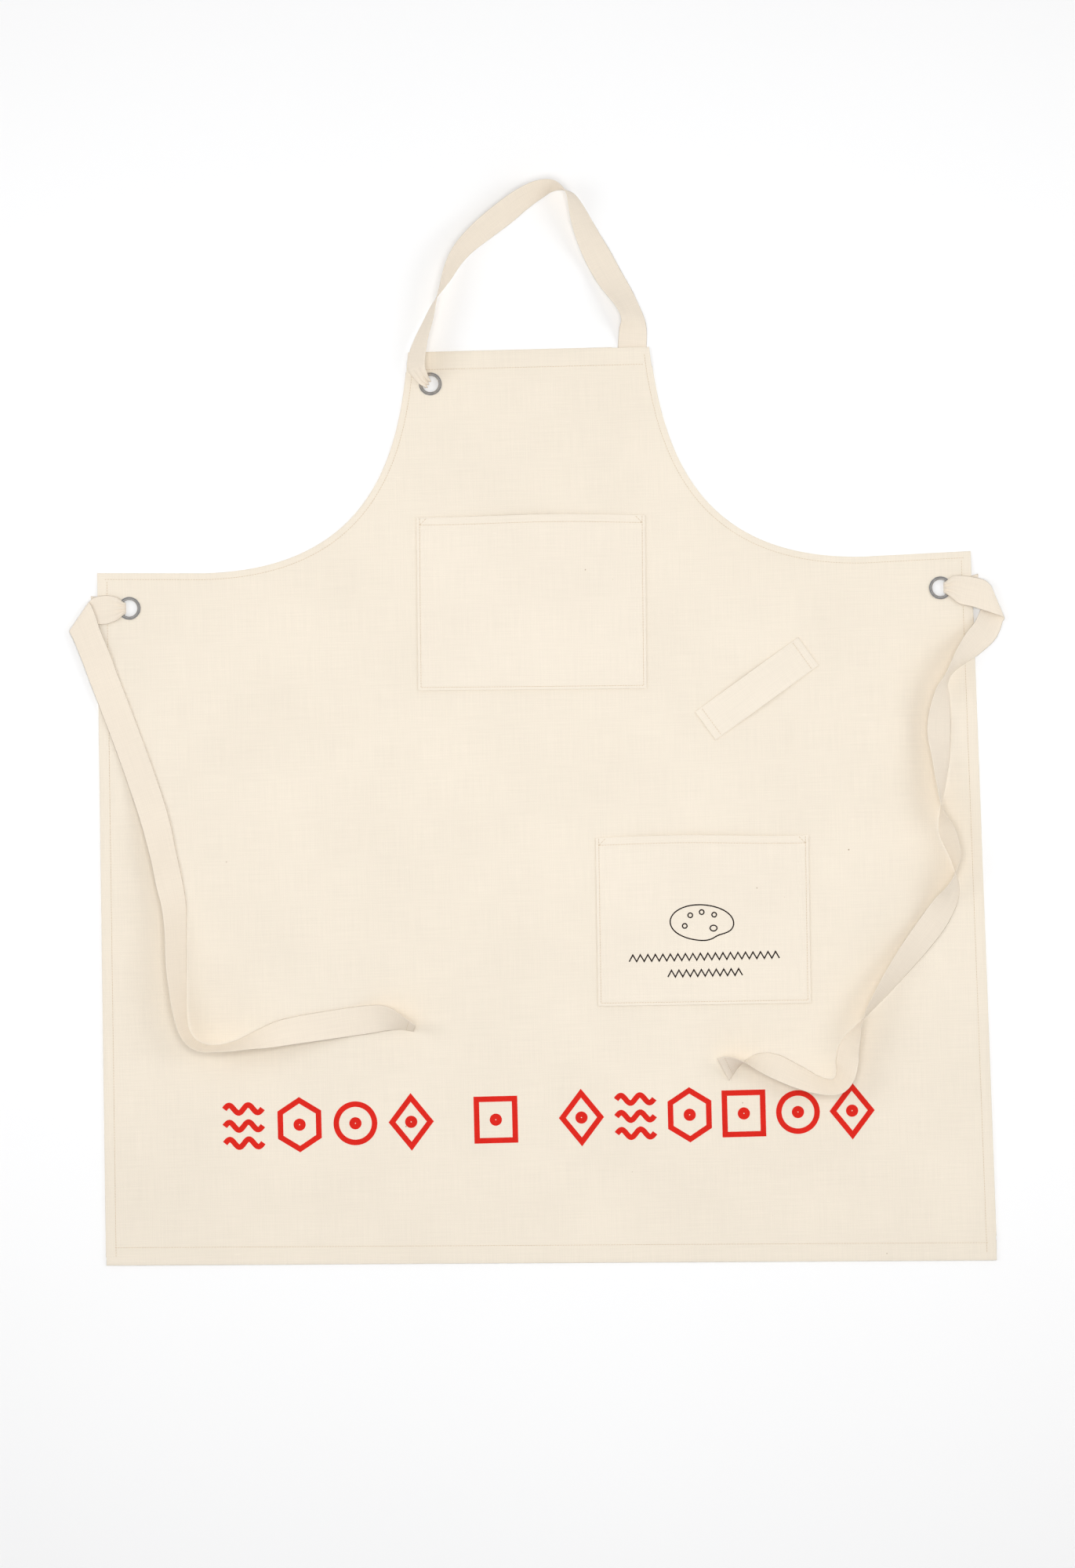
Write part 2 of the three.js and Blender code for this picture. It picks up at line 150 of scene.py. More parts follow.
RIGHT_TIE_ROUTE = [
    (0.040, -0.001, LOW, 90, 0, 1),
    (0.016, 0.000, LOW, 90, 0, 0.5),
    (0.006, 0.000, LOW, 90, 0, 0.35),
    (0.0036, 0.000, 0.0022, 90, 0, 0.38),
    (0.006, 0.000, 0.0045, 90, 0, 0.46),
    (0.013, 0.000, 0.0048, 86, 0, 0.8),
    (0.023, -0.003, 0.005, 78, 0, 1),
    (0.036, -0.006, 0.0064, 80, 0, 1.03),
    (0.047, -0.010, 0.008, 94, 0, 1.1),
    (0.055, -0.014, 0.008, 106, 0, 1.16),
    (0.059, -0.017, 0.0054, 112, 0, 1.18),
    (0.056, -0.022, 0.0026, 117, 0, 1.16),
    (0.051, -0.035, 0.0016, 127, 4, 1.05),
    (0.044, -0.047, 0.0018, 134, 16, 1),
    (0.032, -0.059, 0.0033, 134, 28, 1),
    (0.010, -0.082, 0.0036, 146, 66, 1),
    (0.001, -0.096, 0.004, 156, 72, 1),
    (-0.003, -0.111, 0.005, 166, 52, 1),
    (-0.007, -0.145, 0.007, 180, 29, 1),
    (-0.006, -0.180, 0.005, 180, 47, 1),
    (-0.007, -0.216, 0.0034, 178, 73, 1),
    (-0.006, -0.234, 0.0034, 186, 92, 1),
    (-0.001, -0.254, 0.0034, 195, 118, 1),
    (0.006, -0.278, 0.0034, 188, 108, 1),
    (0.006, -0.296, 0.0034, 174, 84, 1),
    (0.004, -0.313, 0.0034, 160, 56, 1),
    (-0.006, -0.332, 0.0034, 148, 28, 1),
    (-0.020, -0.353, 0.0034, 143, 18, 1),
    (-0.046, -0.385, 0.0034, 141, 32, 1),
    (-0.089, -0.440, 0.0034, 145, 74, 1),
    (-0.107, -0.473, 0.0034, 163, 124, 1),
    (-0.111, -0.491, 0.0034, 170, 136, 1),
    (-0.114, -0.507, 0.0034, 150, 125, 1),
    (-0.123, -0.517, 0.0034, 110, 118, 1),
    (-0.139, -0.516, 0.0034, 78, 122, 1),
    (-0.163, -0.506, 0.0034, 66, 138, 1),
    (-0.186, -0.495, 0.0034, 68, 144, 1),
    (-0.206, -0.489, 0.0034, 76, 118, 1),
    (-0.230, -0.491, 0.0034, 110, 52, 1),
    (-0.240, -0.497, 0.0034, 118, 24, 1),
]


# ---------------------------------------------------------------- sizes and colours


def length_property(name, description, default):
    return FloatProperty(name=name, description=description, default=default, unit="LENGTH", precision=5)


def colour_property(name, description, default):
    return FloatVectorProperty(
        name=name, description=description, default=default, subtype="COLOR", size=3, min=0, max=1
    )


class ApronSizes(bpy.types.PropertyGroup):
    """Sizes of the sewn pieces."""

    ply: length_property("Ply", "Thickness of one layer of canvas", 0.8 * MM)
    sag: length_property("Sag", "How far the canvas sinks between its hems", 0.7 * MM)
    bib_hem: length_property("Bib hem", "Depth of the hem along the bib top", 20 * MM)
    bottom_hem: length_property("Bottom hem", "Depth of the hem along the bottom", 20 * MM)
    side_hem: length_property("Side hem", "Depth of the two side hems", 12 * MM)
    facing: length_property("Armhole facing", "Width of the strip behind each armhole", 8 * MM)
    pocket_mouth: length_property("Pocket mouth", "How far a pocket mouth stands off", 2.4 * MM)
    loop_rise: length_property("Loop rise", "How far the tool loop stands off", 1.6 * MM)
    tape_width: length_property("Tape width", "Width of the strap and ties", 30 * MM)
    tape_thickness: length_property("Tape thickness", "Thickness of the strap and ties", 0.7 * MM)
    stitch: length_property("Stitch", "Length of one stitch", 2.8 * MM)
    thread: length_property("Thread", "Radius of the sewing thread", 0.22 * MM)
    pleats: IntProperty(name="Pleats", description="Folds of a tape gathered in an eyelet", default=3)


class ApronColours(bpy.types.PropertyGroup):
    """Colours of the cloths, thread, inks and metal."""

    canvas: colour_property("Canvas", "Natural cotton canvas", (0.84, 0.76, 0.64))
    pocket: colour_property("Pocket canvas", "Canvas of the pockets and loop", (0.845, 0.765, 0.648))
    tape: colour_property("Tape", "Natural cotton tape", (0.83, 0.74, 0.62))
    # Thread colour, and partly painted shade: it is darker than the canvas so that the rows of stitches draw
    # the thin shadow lines along the seams and pocket edges.
    thread: colour_property("Thread", "Sewing thread", (0.68, 0.54, 0.38))
    fleck: colour_property("Fleck", "Cotton seed flecks", (0.30, 0.19, 0.10))
    red_ink: colour_property("Red ink", "Printed band", (0.70, 0.018, 0.010))
    black_ink: colour_property("Black ink", "Printed pocket motif", (0.013, 0.007, 0.006))
    nickel: colour_property("Nickel", "Plating of the eyelets", (0.78, 0.76, 0.73))
    floor: colour_property("Floor", "Pale table", (0.955, 0.955, 0.955))


# ---------------------------------------------------------------- mesh helpers


def smooth_step(x):
    """0 below 0, 1 above 1, and an even S between."""
    x = np.clip(x, 0, 1)
    return x * x * (3 - 2 * x)


def grid_faces(rows, columns, wrap_rows=False, wrap_columns=False):
    """Quads between neighbours of a rows by columns grid of points, closed on itself where asked."""
    i = np.arange(rows if wrap_rows else rows - 1)[:, None]
    j = np.arange(columns if wrap_columns else columns - 1)[None, :]
    below, right = (i + 1) % rows, (j + 1) % columns
    corners = (i * columns + j, i * columns + right, below * columns + right, below * columns + j)
    return np.stack(np.broadcast_arrays(*corners), axis=-1).reshape(-1, 4)


def signed_volume(points, faces):
    """Volume of a closed quad mesh by the divergence theorem, negative when it is inside out."""
    a, b, c, d = (points[faces[:, k]] for k in range(4))
    return (np.einsum("ij,ij->", a, np.cross(b, c)) + np.einsum("ij,ij->", a, np.cross(c, d))) / 6


def add_mesh(name, points, faces, material, uv=None):
    """A mesh object with its place in its mesh, shaded smooth."""
    points = np.asarray(points, float).reshape(-1, 3)
    mesh = bpy.data.meshes.new(name)
    mesh.vertices.add(len(points))
    mesh.vertices.foreach_set("co", points.ravel())
    mesh.loops.add(faces.size)
    mesh.loops.foreach_set("vertex_index", faces.ravel())
    mesh.polygons.add(len(faces))
    mesh.polygons.foreach_set("loop_start", np.arange(0, faces.size, faces.shape[1]))
    mesh.update(calc_edges=True)
    mesh.polygons.foreach_set("use_smooth", np.ones(len(faces), bool))
    if uv is not None:
        layer = mesh.uv_layers.new(name="UVMap")
        layer.data.foreach_set("uv", np.asarray(uv, float).reshape(-1, 2)[faces.ravel()].ravel())
    mesh.materials.append(material)
    made = bpy.data.objects.new(name, mesh)
    bpy.context.scene.collection.objects.link(made)
    return made


def closed_faces(points, rows, columns):
    """Faces of a tube given as rows of rings, with both ends closed by pairing the ring's two sides."""
    faces = [grid_faces(rows, columns, wrap_columns=True)]
    half = columns // 2
    k = np.arange(half - 1)
    cap = np.stack([k, k + 1, columns - 2 - k, columns - 1 - k], axis=-1)
    faces += [cap[:, ::-1], cap + (rows - 1) * columns]
    faces = np.concatenate(faces)
    flat = points.reshape(-1, 3)
    return faces if signed_volume(flat, faces) > 0 else faces[:, ::-1]


def finish_piece(piece, slot, *nodes):
    """Puts the piece on the body and hides the nodes it stands for; slot is not used."""
    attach(piece, BODY)
    if nodes:
        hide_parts(*nodes)
    return piece


def solidify(piece, thickness):
    """Gives a surface its thickness downwards, and rounds the cut edge a little."""
    wall = piece.modifiers.new("Thickness", "SOLIDIFY")
    wall.thickness = thickness
    wall.offset = -1
    edge = piece.modifiers.new("Edge", "BEVEL")
    edge.width = thickness * 0.35
    edge.segments = 2
    edge.limit_method = "ANGLE"
    edge.angle_limit = math.radians(55)


# ---------------------------------------------------------------- the cloth's shape


def bezier(points, t):
    """The cubic curve with those four control points, at shares t of its length."""
    t = np.asarray(t)[:, None]
    a, b, c, d = points
    return (1 - t) ** 3 * a + 3 * (1 - t) ** 2 * t * b + 3 * (1 - t) * t**2 * c + t**3 * d


def armhole_points(count):
    """Points along the right armhole, from the bib corner to the side corner."""
    curve = bezier(ARMHOLE, np.linspace(0, 1, count))
    corner = np.array([[WAIST_HALF, CORNER_LEVEL]])
    share = np.linspace(0, 1, max(count // 3, 2))[1:, None]
    return np.concatenate([curve, curve[-1] + share * (corner - curve[-1])])


def side_x(y):
    """Half width of the panel at a height: it widens evenly from the side corners to the hem."""
    drop = np.clip((CORNER_LEVEL - y) / (CORNER_LEVEL - HEM_LEVEL), 0, None)
    return WAIST_HALF + drop * (HEM_HALF - WAIST_HALF)


def hem_y(x):
    """Level of the bottom edge, which runs a little out of square."""
    return HEM_LEVEL - HEM_SKEW * x / HEM_HALF


def panel_edges(bottom, side, arm, bib):
    """The panel's six edges as plan lines of that many points, each with the cloth on its left."""
    bottom_x = np.linspace(-HEM_HALF, HEM_HALF, bottom)
    share = np.linspace(0, 1, side)
    right_y = hem_y(HEM_HALF) + share * (CORNER_LEVEL - hem_y(HEM_HALF))
    left_y = CORNER_LEVEL + share * (hem_y(-HEM_HALF) - CORNER_LEVEL)
    armhole = armhole_points(arm)
    bib_x = np.linspace(BIB_HALF, -BIB_HALF, bib)
    return {
        "bottom": np.stack([bottom_x, hem_y(bottom_x)], axis=-1),
        "right_side": np.stack([side_x(right_y), right_y], axis=-1),
        "right_armhole": armhole[::-1],
        "bib_top": np.stack([bib_x, np.full_like(bib_x, TOP)], axis=-1),
        "left_armhole": armhole * (-1, 1),
        "left_side": np.stack([-side_x(left_y), left_y], axis=-1),
    }


def outline():
    """The panel's outline, closed, anticlockwise from the left hem corner, about 8 mm apart."""
    edges = panel_edges(116, 92, 60, 32)
    shared = ("right_side", "bib_top", "left_side")
    return np.concatenate([edge[1:-1] if name in shared else edge for name, edge in edges.items()])


OUTLINE = outline()


def edge_distance(x, y):
    """Distance of each point from the outline's nearest point."""
    nearest = np.full(np.shape(x), np.inf)
    for px, py in OUTLINE:
        nearest = np.minimum(nearest, np.hypot(x - px, y - py))
    return nearest


def ripple(x, y, length, heading, phase):
    """A plane wave of that length, running along a heading in degrees."""
    turn = math.radians(heading)
    return np.sin(2 * math.pi * (x * math.cos(turn) + y * math.sin(turn)) / length + phase)


def fold_mark(across, along, start, end, width=3.5 * MM):
    """A low ridge over the line across = 0, fading in and out between start and end."""
    fade = smooth_step((along - start) / 0.03) * smooth_step((end - along) / 0.03)
    return np.exp(-((across / width) ** 2)) * fade


def cloth_height(x, y):
    """Height of the canvas's upper face.

    At its edges it lies flat on its hems. Inside them it sinks by the sag and carries long low
    waves, three ripples of different length and heading, and a few fold marks from storage.
    """
    x, y = np.asarray(x, float), np.asarray(y, float)
    inside = smooth_step((edge_distance(x, y) - 14 * MM) / (45 * MM))
    sag = bpy.context.scene.apron_sizes.sag
    wave = 0.26 * ripple(x, y, 0.34, 20, 0.4) + 0.22 * ripple(x, y, 0.27, 107, 2.0)
    wave += 0.16 * ripple(x, y, 0.145, 63, 1.1) + 0.10 * ripple(x, y, 0.09, 152, 0.3)
    marks = 0.30 * fold_mark(y - 0.302, x, 0.10, 0.27) + 0.24 * fold_mark(y - 0.006, x, -0.44, 0.44)
    marks += 0.22 * fold_mark(x + 0.002 * np.sin(9 * y), y, -0.46, 0.10)
    marks += 0.35 * fold_mark(x + 0.066, y, 0.43, 0.52, 2.5 * MM)
    return CLOTH_TOP - inside * sag + (inside * wave + smooth_step((TOP - y) / 0.004) * marks) * MM


def eyelet_middle(name):
    low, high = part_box(f"{name}_grommet")
    return np.array([(low.x + high.x) / 2, (low.y + high.y) / 2])


EYELETS = {name: eyelet_middle(name) for name in ("neck", "left", "right")}


# ---------------------------------------------------------------- materials


class Nodes:
    """Adds nodes to a material's tree and joins them up."""

    def __init__(self, name, roughness, metallic=0.0):
        self.material = bpy.data.materials.new(name)
        self.material.use_nodes = True
        self.tree = self.material.node_tree
        self.shader = next(n for n in self.tree.nodes if n.type == "BSDF_PRINCIPLED")
        self.shader.inputs["Roughness"].default_value = roughness
        self.shader.inputs["Metallic"].default_value = metallic

    def add(self, kind, inputs=(), **settings):
        """A node of that kind. inputs maps a socket's name or number to a value or an output."""
        made = self.tree.nodes.new(kind)
        for key, value in settings.items():
            setattr(made, key, value)
        for key, value in dict(inputs).items():
            if isinstance(value, bpy.types.NodeSocket):
                self.tree.links.new(value, made.inputs[key])
            else:
                made.inputs[key].default_value = value
        return made

    def math(self, operation, a, b=0.0):
        return self.add("ShaderNodeMath", {0: a, 1: b}, operation=operation).outputs[0]

    def remap(self, value, low, high, to_low, to_high):
        """value, from between low and high, to between to_low and to_high, held at the ends."""
        inputs = {"Value": value, "From Min": low, "From Max": high, "To Min": to_low, "To Max": to_high}
        return self.add("ShaderNodeMapRange", inputs).outputs["Result"]

    def coordinates(self, kind, scale=(1, 1, 1), turn=0.0):
        """The piece's own Object or UV coordinates, scaled and turned about Z."""
        source = self.add("ShaderNodeTexCoord").outputs[kind]
        inputs = {"Vector": source, "Rotation": (0, 0, turn), "Scale": scale}
        return self.add("ShaderNodeMapping", inputs).outputs["Vector"]

    def noise(self, vector, scale, detail=2.0):
        inputs = {"Vector": vector, "Scale": scale, "Detail": detail}
        return self.add("ShaderNodeTexNoise", inputs).outputs["Fac"]

    def shade(self, colour, factor):
        """colour times factor, where factor is an output of about 1."""
        made = self.add("ShaderNodeVectorMath", {0: colour, 3: factor}, operation="SCALE")
        return made.outputs["Vector"]

    def mix(self, factor, a, b):
        made = self.add("ShaderNodeMix", {"Factor": factor, 6: a, 7: b}, data_type="RGBA")
        return made.outputs[2]

    def bump(self, height, strength, distance, normal=None):
        inputs = {"Height": height, "Strength": strength, "Distance": distance}
        if normal is not None:
            inputs["Normal"] = normal
        return self.add("ShaderNodeBump", inputs).outputs["Normal"]

    def join(self, output, socket):
        self.tree.links.new(output, self.shader.inputs[socket])


def weave_height(nodes, vector, pitch):
    """Height of a plain weave: over and under in turn, the product of two waves across each other."""
    split = nodes.add("ShaderNodeSeparateXYZ", {"Vector": vector})
    turns = [nodes.math("SINE", nodes.math("MULTIPLY", split.outputs[k], math.pi / pitch)) for k in (0, 1)]
    return nodes.math("MULTIPLY", *turns)


def cloth_material(name, colour, fleck, kind="Object", twill=False):
    """Natural cotton: a weave in relief, uneven yarns both ways, pale slubs and sparse seed flecks."""
    nodes = Nodes(name, roughness=0.92)
    nodes.shader.inputs["Sheen Weight"].default_value = 0.12
    nodes.shader.inputs["Sheen Roughness"].default_value = 0.6
    nodes.shader.inputs["Specular IOR Level"].default_value = 0.2
    place = nodes.coordinates(kind)
    warp = nodes.noise(nodes.coordinates(kind, (900, 22, 1)), 1.0)
    weft = nodes.noise(nodes.coordinates(kind, (22, 900, 1)), 1.0)
    cloud = nodes.noise(place, 9.0, 3.0)
    yarns = nodes.math("ADD", nodes.remap(warp, 0.25, 0.75, -0.022, 0.022),
                       nodes.remap(weft, 0.25, 0.75, -0.022, 0.022))
    tone = nodes.math("ADD", yarns, nodes.remap(cloud, 0.3, 0.7, 0.978, 1.016))
    slub = nodes.remap(nodes.noise(nodes.coordinates(kind, (60, 420, 1)), 1.0), 0.70, 0.80, 0.0, 0.05)
    base = nodes.shade((*colour,), nodes.math("ADD", tone, slub))
    cells = nodes.add("ShaderNodeTexVoronoi", {"Vector": place, "Scale": 34.0})
    chance = nodes.add("ShaderNodeSeparateColor", {"Color": cells.outputs["Color"]}).outputs[0]
    seed = nodes.math("MULTIPLY", nodes.remap(cells.outputs["Distance"], 0.018, 0.036, 0.75, 0.0),
                      nodes.remap(chance, 0.80, 0.82, 0.0, 1.0))
    nodes.join(nodes.mix(seed, base, (*fleck, 1)), "Base Color")
    if twill:
        height = nodes.add("ShaderNodeTexWave", {"Vector": nodes.coordinates(kind, turn=math.radians(45)),
                                                 "Scale": 330.0, "Distortion": 0.6}).outputs["Fac"]
    else:
        height = weave_height(nodes, place, 0.85 * MM)
    uneven = nodes.math("ADD", warp, weft)
    relief = nodes.bump(uneven, 0.30, 0.35 * MM)
    nodes.join(nodes.bump(height, 0.32, 0.12 * MM, relief), "Normal")
    return nodes.material


def thread_material(colour):
    """Twisted sewing thread: a fine diagonal relief along the stitch, with painted shade that darkens the
    colour in the grooves of the twist.
    """
    nodes = Nodes("sewing_thread_with_painted_shade", roughness=0.75)
    wave = nodes.add("ShaderNodeTexWave", {"Vector": nodes.coordinates("UV", turn=math.radians(40)),
                                           "Scale": 2.0, "Distortion": 0.8}).outputs["Fac"]
    # Painted shade: the colour darkens with the same wave that sets the relief, so the grooves of the twist
    # come out darker.
    nodes.join(nodes.shade((*colour,), nodes.remap(wave, 0, 1, 0.88, 1.05)), "Base Color")
    nodes.join(nodes.bump(wave, 0.4, 0.06 * MM), "Normal")
    return nodes.material


def ink_material(name, colour):
    """Screen print: matt ink that thins a little over the weave."""
    nodes = Nodes(name, roughness=0.7)
    nodes.shader.inputs["Specular IOR Level"].default_value = 0.25
    place = nodes.coordinates("Object")
    grain = nodes.noise(place, 900.0, 3.0)
    cloud = nodes.noise(place, 40.0)
    fine, broad = nodes.remap(grain, 0.3, 0.7, 0.90, 1.08), nodes.remap(cloud, 0.3, 0.7, 0.95, 1.04)
    tone = nodes.math("MULTIPLY", fine, broad)
    nodes.join(nodes.shade((*colour,), tone), "Base Color")
    nodes.join(nodes.bump(weave_height(nodes, place, 0.85 * MM), 0.25, 0.1 * MM), "Normal")
    return nodes.material


def nickel_material(name, colour, roughness):
    """Polished nickel plate: fine scratches and faint tarnish in the roughness and colour."""
    nodes = Nodes(name, roughness, metallic=1.0)
    place = nodes.coordinates("Object")
    scratch = nodes.noise(nodes.coordinates("Object", (3000, 250, 3000), 0.6), 1.0)
    tarnish = nodes.noise(place, 260.0, 3.0)
    nodes.join(nodes.shade((*colour,), nodes.remap(tarnish, 0.3, 0.75, 1.05, 0.82)), "Base Color")
    nodes.join(nodes.remap(scratch, 0.3, 0.7, roughness * 0.7, roughness * 1.6), "Roughness")
    nodes.join(nodes.bump(scratch, 0.08, 0.03 * MM), "Normal")
    return nodes.material


def floor_material(colour):
    """Plain pale table."""
    nodes = Nodes("pale_table", roughness=0.85)
    cloud = nodes.noise(nodes.coordinates("Object"), 1.5)
    nodes.join(nodes.shade((*colour,), nodes.remap(cloud, 0.3, 0.7, 0.995, 1.005)), "Base Color")
    return nodes.material


MATERIALS = {}


def material(key):
    """The finish of that name, made the first time it is asked for."""
    colours = bpy.context.scene.apron_colours
    makers = {
        "canvas": lambda: cloth_material("natural_canvas", colours.canvas, colours.fleck),
        "pocket": lambda: cloth_material("pocket_canvas", colours.pocket, colours.fleck, kind="UV"),
        "tape": lambda: cloth_material("cotton_tape", colours.tape, colours.fleck, kind="UV", twill=True),
        "thread": lambda: thread_material(colours.thread),
        "red_ink": lambda: ink_material("red_ink", colours.red_ink),
        "black_ink": lambda: ink_material("black_ink", colours.black_ink),
        "grommet": lambda: nickel_material("polished_nickel", colours.nickel, 0.14),
        "washer": lambda: nickel_material("plain_nickel", colours.nickel, 0.3),
        "floor": lambda: floor_material(colours.floor),
    }
    if key not in MATERIALS:
        MATERIALS[key] = makers[key]()
    return MATERIALS[key]


# ---------------------------------------------------------------- stage


CAMERA_MIDDLE = (-0.0021, 0.0277)
CAMERA_TURN = -1.45
FRAME_HEIGHT = 1.640
LENS = 70
SENSOR = 36
SKY_STRENGTH = 0.70
SKY_OVERHEAD = (0.22, 0.22, 0.23, 1)
SKY_DARKENS = (0.55, 0.93)   # heights on the surround where it starts and ends darkening
FLOOR_REACH = 8.0
FLOOR_LEVEL = -0.05 * MM
LAMPS = (
    # name, place, size in metres and power in watts; each shines at the middle of the apron
    ("overhead", (0.0, 0.05, 2.3), 0.9, 26),
    ("left_side", (-1.9, 0.5, 1.6), 1.0, 10),
    ("right_side", (1.9, 0.3, 1.6), 1.0, 10),
)


def area_light(name, place, target, size, power):
    """A square soft light that shines from place at target and is neither seen nor reflected."""
    data = bpy.data.lights.new(name, "AREA")
    data.shape = "SQUARE"
    data.size = size
    data.energy = power
    lamp = bpy.data.objects.new(name, data)
    lamp.location = place
    direction = Vector(target) - Vector(place)
    lamp.rotation_euler = direction.to_track_quat("-Z", "Y").to_euler()
    lamp.visible_camera = False
    lamp.visible_glossy = False
    bpy.context.scene.collection.objects.link(lamp)


def soft_world():
    """An even pale surround that darkens overhead, so that polished metal has something to show."""
    world = bpy.data.worlds.new("soft_surround")
    world.use_nodes = True
    tree = world.node_tree
    background = next(n for n in tree.nodes if n.type == "BACKGROUND")
    place = tree.nodes.new("ShaderNodeTexCoord")
    split = tree.nodes.new("ShaderNodeSeparateXYZ")
    ramp = tree.nodes.new("ShaderNodeValToRGB")
    tree.links.new(place.outputs["Generated"], split.inputs[0])
    tree.links.new(split.outputs["Z"], ramp.inputs["Fac"])
    tree.links.new(ramp.outputs["Color"], background.inputs["Color"])
    ramp.color_ramp.elements[0].color = (1, 1, 1, 1)
    ramp.color_ramp.elements[0].position = SKY_DARKENS[0]
    ramp.color_ramp.elements[1].color = SKY_OVERHEAD
    ramp.color_ramp.elements[1].position = SKY_DARKENS[1]
    background.inputs["Strength"].default_value = SKY_STRENGTH
    bpy.context.scene.world = world


class APRON_OT_stage(bpy.types.Operator):
    """Camera straight above, a pale table, one broad soft light overhead and one at each side"""

    bl_idname = "apron.stage"
    bl_label = "Stage"

    def execute(self, context):
        data = bpy.data.cameras.new("camera")
        data.lens = LENS
        data.sensor_width = SENSOR
        camera = bpy.data.objects.new("camera", data)
        camera.location = (*CAMERA_MIDDLE, FRAME_HEIGHT * LENS / data.sensor_width)
        camera.rotation_euler = (0, 0, math.radians(CAMERA_TURN))
        context.scene.collection.objects.link(camera)
        context.scene.camera = camera
        corners = np.array([(-1, -1), (1, -1), (1, 1), (-1, 1)]) * FLOOR_REACH
        points = np.column_stack([corners, np.full(4, FLOOR_LEVEL)])
        floor = add_mesh("floor", points, np.array([[0, 1, 2, 3]]), material("floor"))
        for name, place, size, power in LAMPS:
            area_light(name, place, (0, 0, 0), size, power)
        soft_world()
        context.scene.view_settings.view_transform = "Standard"
        return {"FINISHED"}


# ---------------------------------------------------------------- tapes


STEPS_PER_STATION = 12
ACROSS = 37                  # points across a tape
SELVEDGE_POWER = 22          # how square a tape's edge is
END_HEM = 10 * MM
END_HEM_EXTRA = 0.75         # more thickness in a hemmed end, as a share
END_STITCH = 8 * MM          # stitching in from a tie's end
GATHER_LEVEL = 3.0 * MM      # pleats start above this height
GATHER_FADE = 2.0 * MM
CREASE_HEIGHT = 0.45 * MM    # pleats left in the tape past an eyelet
CREASE_REACH = 0.035
EDGE_RIPPLE = 0.28 * MM
EDGE_RIPPLE_LENGTH = 0.061


def catmull_rom(stations, per_span):
    """The smooth curve through the stations, per_span points to each span, its ends mirrored out."""
    s = np.asarray(stations, float)
    s = np.concatenate([[2 * s[0] - s[1]], s, [2 * s[-1] - s[-2]]])
    t = np.linspace(0, 1, per_span, endpoint=False)[None, :, None]
    p0, p1, p2, p3 = (s[k:len(s) - 3 + k, None, :] for k in range(4))
    curve = 0.5 * (
        2 * p1 + (p2 - p0) * t + (2 * p0 - 5 * p1 + 4 * p2 - p3) * t**2 + (3 * p1 - p0 - 3 * p2 + p3) * t**3
    )
    return np.concatenate([curve.reshape(-1, s.shape[1]), s[-2:-1]])


def tape_frames(route, middle, sizes):
    """Along a route: the tape's middle, half its width as a vector, its face, its spread and length so far.

    The lower edge keeps the station's height, so the middle is raised by half the width's rise.
    """
    curve = catmull_rom(route, STEPS_PER_STATION)
    turn, roll = np.radians(curve[:, 3]), np.radians(curve[:, 4])
    across = np.stack([np.cos(turn) * np.cos(roll), np.sin(turn) * np.cos(roll), np.sin(roll)], axis=-1)
    half = across * (curve[:, 5] * sizes.tape_width / 2)[:, None]
    centre = curve[:, :3] + (*middle, 0)
    centre[:, 2] = np.maximum(curve[:, 2], LOW) + np.abs(half[:, 2])
    face = np.cross(np.gradient(centre, axis=0), half)
    face /= np.linalg.norm(face, axis=1, keepdims=True)
    steps = np.linalg.norm(np.diff(centre, axis=0), axis=1)
    return centre, half, face, curve[:, 5], np.concatenate([[0], np.cumsum(steps)])


def tape_surface(frames, sizes, end_hems):
    """Rings round the tape: half widths across it, half its thickness through it, tapering at the selvedges.

    Where the tape is narrowed it folds into pleats, a cosine across it that keeps the cloth's width.
    Its edges carry a slight long ripple, and a hemmed end is nearly twice as thick.
    """
    centre, half, face, spread, along = frames
    v = np.linspace(-1, 1, ACROSS)
    ring_v = np.concatenate([v, v[-2:0:-1]])
    side = np.concatenate([np.ones(ACROSS), -np.ones(ACROSS - 2)])
    through = side * np.sqrt(np.clip(1 - np.abs(ring_v) ** SELVEDGE_POWER, 0, 1))
    through[[0, ACROSS - 1]] = 0
    thick = np.full(len(along), sizes.tape_thickness / 2)
    if end_hems:
        thick *= 1 + END_HEM_EXTRA * smooth_step((along - along[-1] + END_HEM) / (1.5 * MM))
    narrow = np.clip(1 / np.minimum(spread, 1) ** 2 - 1, 0, None)
    depth = np.sqrt(2 * narrow) * spread * sizes.tape_width / (2 * math.pi * sizes.pleats)
    above = smooth_step((centre[:, 2] - GATHER_LEVEL) / GATHER_FADE)
    from_eyelet = along - along[np.argmin(spread)]
    gather = depth * above + CREASE_HEIGHT * np.exp(-(from_eyelet / CREASE_REACH) ** 2) * above
    fold = 0.5 + 0.5 * np.cos(math.pi * sizes.pleats * ring_v + 0.35)
    upward = face * np.where(face[:, 2] < 0, -1, 1)[:, None]
    edge_wave = np.sin(2 * math.pi * along / EDGE_RIPPLE_LENGTH + 0.8)
    ripple_height = EDGE_RIPPLE * edge_wave * (1 - np.exp(-along / 0.05))
    lift = gather[:, None] * fold[None, :] + np.maximum(ripple_height, 0)[:, None] * ring_v[None, :] ** 2
    points = centre[:, None, :] + half[:, None, :] * ring_v[None, :, None]
    points = points + face[:, None, :] * (thick[:, None] * through[None, :])[..., None]
    points = points + upward[:, None, :] * lift[..., None]
    width = np.broadcast_to(ring_v[None, :] * sizes.tape_width / 2, lift.shape)
    length = np.broadcast_to(along[:, None], lift.shape)
    return points, np.stack([length, width], axis=-1)


def make_tape(name, node, route, middle, sizes, end_hems):
    """One tape: its mesh, on the body in place of the node it stands for; returns its frames, with its length
    along its centreline.
    """
    frames = tape_frames(route, middle, sizes)
    points, uv = tape_surface(frames, sizes, end_hems)
    rows, columns = points.shape[:2]
    tape = add_mesh(name, points, closed_faces(points, rows, columns), material("tape"), uv)
    finish_piece(tape, "tape", node)
    return frames


